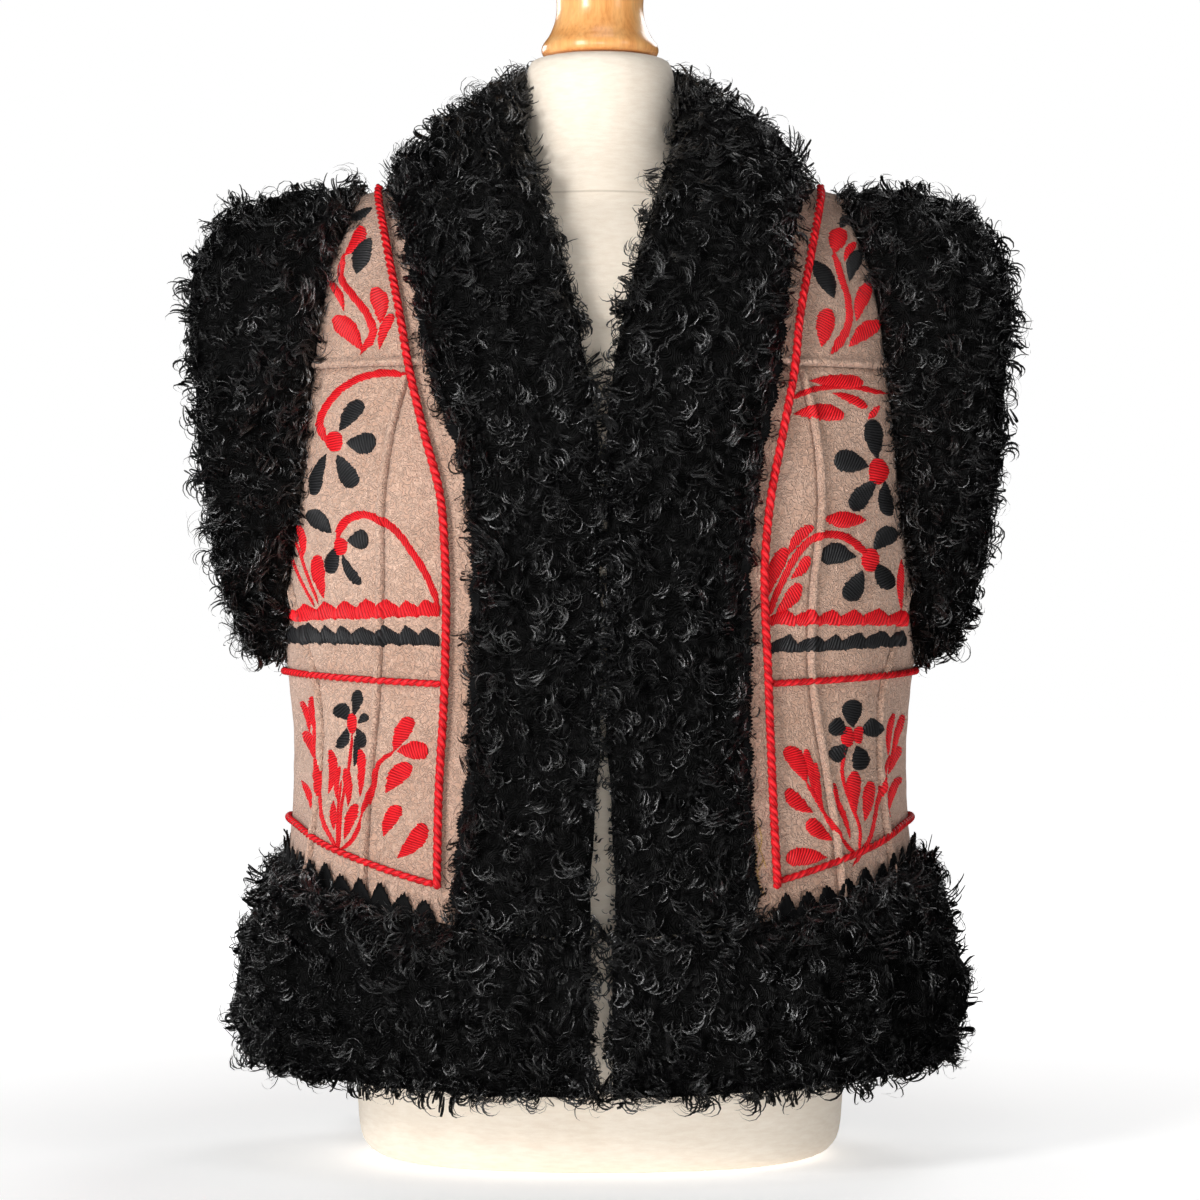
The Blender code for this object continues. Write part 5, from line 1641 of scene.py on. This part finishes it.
# side, colour, from and to distance from the middle, height at the middle and at the side, tall, lobes
SCALLOPS = (
    ("left", "red", 107, 223, 375, 371, 13, 8),
    ("left", "black", 107, 220, 355, 356, 14, 8),
    ("right", "red", 113, 212, 369, 368, 12, 6),
    ("right", "black", 113, 211, 350, 354, 12, 6),
)


def leaf_half(u):
    return np.sin(math.pi * np.clip(u, 0, 1)) ** 0.85


def drop_half(u):
    u = np.clip(u, 0, 1)
    return u**0.95 * (1 - u) ** 0.5 / 0.393


def oval_half(u):
    return np.sqrt(np.clip(1 - (2 * u - 1) ** 2, 0, 1))


OUTLINES = {"leaf": leaf_half, "drop": drop_half, "oval": oval_half}


def thread_stations(length):
    """Shares along a shape, three for each thread, and whether each is a thread's crown."""
    count = max(4, round(length / THREAD))
    share = (np.arange(count)[:, None] + np.array([0.06, 0.5, 0.94])) / count
    return share.ravel(), np.tile([0.0, 1.0, 0.0], count), np.repeat(np.arange(count), 3)


def satin(side, low, high, crown, thread, rng, rise=SATIN_RISE):
    """Threads laid side by side from one edge to the other, domed over the suede."""
    ends = rng.uniform(-RAGGED, RAGGED, (2, thread[-1] + 1))[:, thread]
    across = high - low
    wide = np.linalg.norm(across, axis=-1)
    way = across / np.maximum(wide, TINY)[:, None]
    loose = np.minimum(1, wide / RAGGED_WIDE)
    low = low - way * ((ends[0] + RAGGED / 2) * loose)[:, None]
    high = high + way * ((ends[1] + RAGGED / 2) * loose)[:, None]
    share = np.linspace(0, 1, SATIN_ACROSS)
    points = low[:, None] * (1 - share[:, None]) + high[:, None] * share[:, None]
    dome = np.sqrt(np.clip(1 - (2 * share - 1) ** 4, 0, 1))
    tall = np.minimum(rise, 0.0006 + 0.30 * wide)
    lift = dome[None] * tall[:, None] * (1 - THREAD_CROWN + THREAD_CROWN * crown[:, None])
    lift = lift - SATIN_SINK * (1 - dome[None])
    body = place(points[..., 0], points[..., 1])
    vertices = cloth_point(side, body[..., 0], body[..., 1], lift)
    uv = np.stack(np.broadcast_arrays(thread[:, None] + crown[:, None] * 0.5, share[None]), -1)
    faces = grid_quads(len(low), SATIN_ACROSS)
    # Faces look away from the suede
    a, b, c = (vertices.reshape(-1, 3)[faces[len(faces) // 2, i]] for i in (0, 1, 2))
    looks = np.cross(b - a, c - a)
    if np.dot(looks, (a[0], a[1], 0)) < 0:
        faces = faces[:, ::-1]
    return vertices.reshape(-1, 3), faces, uv.reshape(-1, 2), np.zeros((vertices.size // 3, 3))


PETAL_BROAD = 9
# Broad petals, by colour: how much longer and wider than their row says
PETAL_FULL = {"red": (1.0, 1.10), "black": (1.06, 1.22)}
STEM_BROAD = 4.4
STEM_SWELL = 0.45


def petal(side, colour, kind, x, z, way, long, wide, rng):
    if wide >= PETAL_BROAD:
        long, wide = long * PETAL_FULL[colour][0], wide * PETAL_FULL[colour][1]
    share, crown, thread = thread_stations(long * MM)
    turn = math.radians(way)
    bend = rng.uniform(-0.10, 0.10)
    edges = []
    for hand, lag in ((-1, -0.09), (1, 0.09)):
        at = np.clip(share + lag * np.sin(math.pi * share), 0, 1)
        along = long * at
        off = hand * wide / 2 * OUTLINES[kind](at) + bend * long * 4 * at * (1 - at)
        point_x = x + along * math.cos(turn) - off * math.sin(turn)
        point_z = z + along * math.sin(turn) + off * math.cos(turn)
        edges.append(np.stack([point_x, point_z], -1) * MM)
    return satin(side, *edges, crown, thread, rng)


def eased(points, shares):
    """A smooth line through a few points, at shares of its length."""
    rows = np.array(points, float)
    length = walked_along(rows)
    fine = np.linspace(0, length[-1], 160)
    line_ = np.stack([smooth(np.stack([length, rows[:, i]], -1), 1, fine) for i in (0, 1)], -1)
    walked = walked_along(line_)
    return np.stack([np.interp(shares * walked[-1], walked, line_[:, i]) for i in (0, 1)], -1)


def stem(side, wide, points, rng):
    rows = np.array(points, float)
    length = np.linalg.norm(np.diff(rows, axis=0), axis=-1).sum() * MM
    share, crown, thread = thread_stations(length)
    path = eased(points, share)
    along = unit(np.gradient(path, axis=0))
    off = np.stack([-along[:, 1], along[:, 0]], -1)
    ends = np.clip(np.minimum(share, 1 - share) * 14, 0.35, 1)[:, None]
    if wide >= STEM_BROAD:
        ends = ends * (1.1 + STEM_SWELL * share**3)[:, None]
    skew = along * wide * 0.55
    low = (path - off * wide / 2 * ends - skew) * MM
    high = (path + off * wide / 2 * ends + skew) * MM
    return satin(side, low, high, crown, thread, rng, 0.0013)


def scallops(side, near, far, middle, end, tall, lobes, rng):
    """A row of uneven lobes of leaning threads that stand on one line."""
    parts = []
    shares = np.cumsum(np.concatenate([[0], rng.uniform(0.75, 1.3, lobes)]))
    ends = far + (near - far) * shares / shares[-1]
    for start, stop in zip(ends, ends[1:]):
        step = stop - start
        share, crown, thread = thread_stations(abs(step) * 1.08 * MM)
        peak = rng.uniform(0.34, 0.48)
        x = start + step * (1.08 * share - 0.04)
        foot = middle + (end - middle) * (x - near) / (far - near)
        up = np.where(share < peak, share / peak, (1 - share) / (1 - peak))
        top = foot + tall * rng.uniform(0.9, 1.12) * (0.42 + 0.58 * np.clip(up, 0, 1) ** 0.55)
        foot = foot + 0.5 * np.sin(share * math.pi * 3 + x)
        lean = 0.22 * step
        low = np.stack([x + lean * np.sin(math.pi * share), foot], -1) * MM
        high = np.stack([x - lean * 0.5 * np.sin(math.pi * share), top], -1) * MM
        parts.append(satin(side, low, high, crown, thread, rng, 0.0017))
    return parts


def in_hole(loop, y, z):
    """Whether points seen from the side lie inside a closed line, by the even-odd rule."""
    inside = np.zeros(len(y), bool)
    for (y0, z0), (y1, z1) in zip(loop, np.roll(loop, -1, 0)):
        if z0 != z1:
            inside ^= ((z0 > z) != (z1 > z)) & (y < y0 + (z - z0) * (y1 - y0) / (z1 - z0))
    return inside


def add_embroidery():
    for side in SIDES:
        loop = armhole_loop(side)
        hole = body_point(loop[:, 0], loop[:, 1])[:, 1:]
        for colour, look in FLOSS.items():
            rng = np.random.default_rng(41 if side == "left" else 42)
            parts = [petal(*row, rng) for row in PETALS if row[:2] == (side, colour)]
            if colour == "red":
                parts += [stem(*row, rng) for row in STEMS if row[0] == side]
            for row in SCALLOPS:
                if row[:2] == (side, colour):
                    parts += scallops(side, *row[2:], rng)
            vertices, faces, uv, _ = joined(parts)
            # Threads end at the armhole's cut edge, under its fur
            faces = faces[~in_hole(hole, vertices[:, 1], vertices[:, 2])[faces].any(1)]
            used, kept = np.unique(faces, return_inverse=True)
            kept = kept.reshape(faces.shape)
            piece = add_mesh(f"floss_{colour}_{side}", vertices[used], kept, look, uv[used])
            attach(piece, "root")
    rng = np.random.default_rng(43)
    vertices, faces, uv, _ = joined([stem(*row, rng) for row in GOLD])
    piece = add_mesh("gold_threads", vertices, faces, GOLD_LOOK, uv)
    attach(piece, "root")


add_embroidery()

# ---- Twisted cords

STRANDS = 3
CORD_AROUND = 12
CORD_FINE = 0.0016
CORD_PITCH = 0.0175
SEAM_RISE = 0.0014
SEAT = 0.0005
SEAT_FADE = 0.10
JOINT = 0.0003
ROUND_SLIM = 0.82
ROUND_SEAT = 0.0013


def even_steps(start, end, height, step):
    """Values of q from start to end, with even lengths of cloth between them."""
    q = np.linspace(start, end, FINE_STEPS)
    points = body_point(q, at_height(q, height(q)))
    length = walked_along(points)
    count = max(2, round(length[-1] / step))
    return np.interp(np.linspace(0, length[-1], count + 1), length, q)


def waist_height(q):
    return level(WAIST, WAIST_RISE, q)


def hem_cord_height(q):
    return level(HEM_CORD, HEM_CORD_RISE, q)


def crossing(table, side, height):
    """q where a line of the table meets a line that runs round the body."""
    z = height(QUARTER / 2)
    for _ in range(SOLVE_STEPS):
        z = height(line(table, side, z)[..., 0])
    return float(line(table, side, z)[0])


def add_rope(name, way, up, slim=1.0):
    """A rope of three strands along a path, with its closed ends."""
    along = unit(np.gradient(way, axis=0))
    up = perpendicular(up, along)
    beside = np.cross(along, up)
    walked = walked_along(way)
    column = np.linspace(0, 2 * math.pi, CORD_AROUND, endpoint=False)
    wobble = 0.25 * swell(way[:, 0], way[:, 1], way[:, 2], 9, 0.03)[:, None]
    turn = column[None] + walked[:, None] / CORD_PITCH * 2 * math.pi + wobble
    strand = np.abs(np.sin(column[None] * STRANDS / 2)) ** 0.6
    radius = CORD / 2 * (0.58 + 0.50 * strand) + 0 * walked[:, None]
    ends = np.clip(np.minimum(walked, walked[-1] - walked) / 0.0012, 0.25, 1)[:, None]
    spread = (radius * ends * slim)[..., None]
    ring = np.cos(turn)[..., None] * beside[:, None] + np.sin(turn)[..., None] * up[:, None]
    points = way[:, None] + spread * ring
    rows = len(way)
    faces = grid_quads(rows, CORD_AROUND, wrap=True)
    first, last = np.arange(CORD_AROUND), (rows - 1) * CORD_AROUND + np.arange(CORD_AROUND)
    caps = []
    for rim, index, step in ((first, rows * CORD_AROUND, 1), (last, rows * CORD_AROUND + 1, -1)):
        caps.append(np.stack([np.roll(rim, -step), rim, np.full(CORD_AROUND, index)], -1))
    vertices = np.concatenate([points.reshape(-1, 3), way[:1], way[-1:]])
    strands = column[None] / (2 * math.pi) * STRANDS + 0.5 + 0 * walked[:, None]
    uv = np.stack([strands, np.broadcast_to(walked[:, None] * 100, strands.shape)], -1).reshape(-1, 2)
    uv = np.concatenate([uv, np.zeros((2, 2))])
    rope = add_mesh(name + "_rope", vertices, [faces, *caps], CORD_LOOK, uv)
    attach(rope, "root")
    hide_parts(name)


def add_round_cord(name, height):
    """A cord from the right border round the back to the left one."""
    ends = []
    for side in ("right", "left"):
        width = smooth(BODY, 1, height(0))
        ends.append(crossing(BORDER, side, height) + (CORD / 2 + JOINT) / width)
    q = even_steps(ends[0], 2 * math.pi - ends[1], height, CORD_FINE)
    v = at_height(q, height(q))
    behind = np.clip((-np.cos(q) - SEAT_FADE) / SEAT_FADE, 0, 1)
    seat = SEAT + 0.5 * SEAM_RISE * (1 - behind)
    up = body_normal(q, v)
    add_rope(name, body_point(q, v) + up * (seat + ROUND_SEAT)[:, None], up, ROUND_SLIM)


def add_border(side):
    low, high = BORDER[0][0] - CORD / 2, top_height(BORDER, side)
    rows = np.linspace(0, 1, round((high - low) / CORD_FINE) + 1)
    points = up_line(BORDER, side, rows, low, high - CORD / 2)
    up = body_normal(points[:, 0], points[:, 1])
    way = body_point(points[:, 0], points[:, 1]) + up * (SEAM_RISE + SEAT + CORD / 2)
    flip = np.array([SIDES[side], 1, 1])
    add_rope("border_" + side, way * flip, up * flip)


for side in SIDES:
    add_border(side)
add_round_cord("waist_cord", waist_height)
add_round_cord("hem_cord", hem_cord_height)

# ---- Pinked leather: leaf points with toothed edges where the fur meets the suede

PINK_STEP = 0.0165
PINK_TALL = 0.0135
PINK_LOW = 0.0015
PINK_ROOT = 0.0050
PINK_TOOTH = 0.0026
PINK_DEEP = 0.0013
PINK_ROWS = 4
PINK_FINE = PINK_TOOTH / 3
PINKED = 0.0010
PINK_CURL = 0.0022
BAND_PINK_STEP = 0.022
BAND_PINK_TALL = 0.0036


def pinked_reach(walked, pitch, low, tall, rng):
    """How far the toothed edge stands from its root, along its length."""
    count = max(1, round(walked[-1] / pitch))
    share = walked / walked[-1] * count
    index = np.clip(share.astype(int), 0, count - 1)
    height = rng.uniform(0.78, 1.12, count)[index]
    lean = rng.uniform(-0.12, 0.12, count)[index]
    part = np.clip(share - index, 0, 1)
    peak = 0.5 + lean
    point = np.where(part < peak, part / peak, (1 - part) / (1 - peak))
    leaf = low + (tall * height - low) * (1 - (1 - point) ** 1.45)
    teeth = PINK_DEEP * (1 - 4 * np.abs((walked / PINK_TOOTH) % 1 - 0.5)) * np.clip(point * 6, 0, 1)
    return leaf + teeth, point


def add_pinked(name, node, base, ways, lift, reach, point, sign):
    """A thin strip from a root line to its toothed edge; ways points from root to edge in the cloth."""
    share = np.linspace(0, 1, PINK_ROWS)
    curl = PINK_CURL * point[:, None] * share[None] ** 2
    spread = (-PINK_ROOT + (reach[:, None] + PINK_ROOT) * share[None])[..., None]
    outer = base[:, None] + ways[:, None] * spread
    up = lift[:, None]
    flip = np.array([sign, 1, 1])
    top = (outer + up * (SEAM_RISE + SEAT + PINKED + curl)[..., None]) * flip
    under = (outer + up * (SEAM_RISE + SEAT + curl)[..., None]) * flip
    piece = add_shell(name, top, under, LEATHER_LOOK, -sign)
    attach(piece, "root")
    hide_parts(node)


def hem_edge_height(q):
    return level(HEM_TOP, HEM_TOP_RISE, q) + SEAT


def add_hem_edge():
    margin = PINK_TALL / smooth(BODY, 1, HEM_TOP)
    right, left = (low_edge(BAND_EDGE, side)[0, 0] + margin for side in ("right", "left"))
    q = even_steps(right, 2 * math.pi - left, hem_edge_height, PINK_FINE)
    v = at_height(q, hem_edge_height(q))
    base = body_point(q, v)
    lift = body_normal(q, v)
    above = body_point(q, v - NUDGE * 20)
    ways = unit(above - base)
    walked = walked_along(base)
    reach, point = pinked_reach(walked, PINK_STEP, PINK_LOW, PINK_TALL, np.random.default_rng(51))
    add_pinked("hem_points", "hem_edge", base, ways, lift, reach, point, 1)


def add_band_edge(side):
    low, high = hem_height(BAND_EDGE, side) + 0.012, top_height(BAND_EDGE, side) - 0.006
    heights = np.linspace(high, low, round((high - low) / PINK_FINE))
    points = place(smooth(BAND_EDGE, COLUMN[side], heights), heights)
    base = body_point(points[:, 0], points[:, 1])
    lift = body_normal(points[:, 0], points[:, 1])
    beside = body_point(points[:, 0] + NUDGE * 20, points[:, 1])
    ways = unit(beside - base)
    walked = walked_along(base)
    rng = np.random.default_rng(52 if side == "left" else 53)
    reach, point = pinked_reach(walked, BAND_PINK_STEP, PINK_LOW, BAND_PINK_TALL, rng)
    add_pinked("band_points_" + side, "band_edge_" + side, base, ways, lift, reach, point, SIDES[side])


add_hem_edge()
for side in SIDES:
    add_band_edge(side)

# ---- Camera, light, floor

FRAME_WIDTH = 0.84
DISTANCE = 2.5
CAMERA_HEIGHT = 0.386
FLOOR_SIDE = 9.0


def add_camera():
    data = bpy.data.cameras.new("camera")
    data.sensor_width = 36
    data.lens = 36 * DISTANCE / FRAME_WIDTH
    camera = bpy.data.objects.new("camera", data)
    camera.location = (0, -DISTANCE, CAMERA_HEIGHT)
    camera.rotation_euler = (QUARTER, 0, 0)
    bpy.context.scene.collection.objects.link(camera)
    bpy.context.scene.camera = camera


def add_light(name, where, aim, size, energy):
    data = bpy.data.lights.new(name, "AREA")
    data.shape = "RECTANGLE"
    data.size, data.size_y = size
    data.energy = energy
    lamp = bpy.data.objects.new(name, data)
    lamp.location = where
    lamp.visible_camera = False
    way = np.array(aim, float) - np.array(where, float)
    flat = math.hypot(way[0], way[1])
    lamp.rotation_euler = (math.atan2(flat, -way[2]), 0, math.atan2(way[0], way[1]) * -1)
    bpy.context.scene.collection.objects.link(lamp)


def add_floor():
    """A plain white floor that glows, more with distance so that no line shows where it meets the white; near
    the base its right side glows more, as painted light that pales the shadow there.
    """
    n = Nodes("floor")
    tone = n.noise(1.3, 2, 0.5)
    colour = n.ramp(tone, (0.3, (0.93, 0.93, 0.93)), (0.7, (0.95, 0.95, 0.95)))
    look = n.finish(colour, n.math("MULTIPLY_ADD", tone, 0.05, 0.9), n.bump(tone, 0.02, 0.001))
    reach = n.add("ShaderNodeVectorMath", operation="LENGTH")
    n.put(reach.inputs[0], n.object)
    away = n.clamped(n.math("MULTIPLY", n.math("SUBTRACT", reach.outputs["Value"], 0.35), 0.9))
    far = n.clamped(n.math("MULTIPLY", n.math("SUBTRACT", reach.outputs["Value"], 1.4), 0.5))
    glow = n.math("MULTIPLY_ADD", away, 0.46, 0.42)
    n.shader.inputs["Emission Color"].default_value = (1, 1, 1, 1)
    glow = n.math("MULTIPLY_ADD", far, 0.12, glow)
    split = n.add("ShaderNodeSeparateXYZ")
    n.put(split.inputs[0], n.object)
    # Painted light: near the base the floor's right side glows more, paling the shadow there.
    painted_light_right = n.clamped(n.math("MULTIPLY", split.outputs["X"], 3.0))
    painted_light_right = n.math("MULTIPLY", painted_light_right, n.math("SUBTRACT", 1.0, away))
    n.put(n.shader.inputs["Emission Strength"], n.math("MULTIPLY_ADD", painted_light_right, 0.19, glow))
    x = np.linspace(-FLOOR_SIDE, FLOOR_SIDE, 13)
    across, along = np.meshgrid(x, x)
    points = np.stack([across, along, 0 * across], -1)
    floor = add_mesh("floor", points.reshape(-1, 3), grid_quads(len(x), len(x)), look)
    floor.visible_glossy = False


def add_world():
    """White to the camera, and no light from it: the lamps and the floor give that."""
    world = bpy.data.worlds.new("studio")
    bpy.context.scene.world = world
    world.use_nodes = True
    shade = world.node_tree.nodes["Background"]
    shade.inputs["Color"].default_value = (1, 1, 1, 1)
    shade.inputs["Strength"].default_value = 1.0
    world.cycles_visibility.diffuse = False
    world.cycles_visibility.glossy = False


# name, place, what it looks at, width and height, watts
LAMPS = (
    ("key", (-1.6, -2.0, 1.4), (0, 0, 0.4), (0.65, 0.65), 31),
    ("fill", (1.9, -1.7, 1.2), (0, 0, 0.35), (0.5, 0.9), 5.0),
    ("low", (-1.5, -2.0, 0.22), (0, 0, 0.05), (0.9, 0.35), 24),
    ("front", (0.05, -2.5, 0.30), (0, 0, 0.20), (0.4, 0.4), 11),
    ("top", (0.1, -0.5, 2.2), (0, 0, 0.4), (0.8, 0.5), 2.5),
    ("rim", (0.9, 1.5, 1.6), (0, 0, 0.5), (1.0, 0.8), 10),
    ("behind", (-1.5, 1.9, 1.0), (0, 0, 0.35), (0.9, 0.9), 14),
)

add_camera()
add_floor()
add_world()
for lamp in LAMPS:
    add_light(*lamp)
bpy.context.scene.view_settings.view_transform = "Standard"

for piece, flat, area in SHEETS:
    wide, long = flat
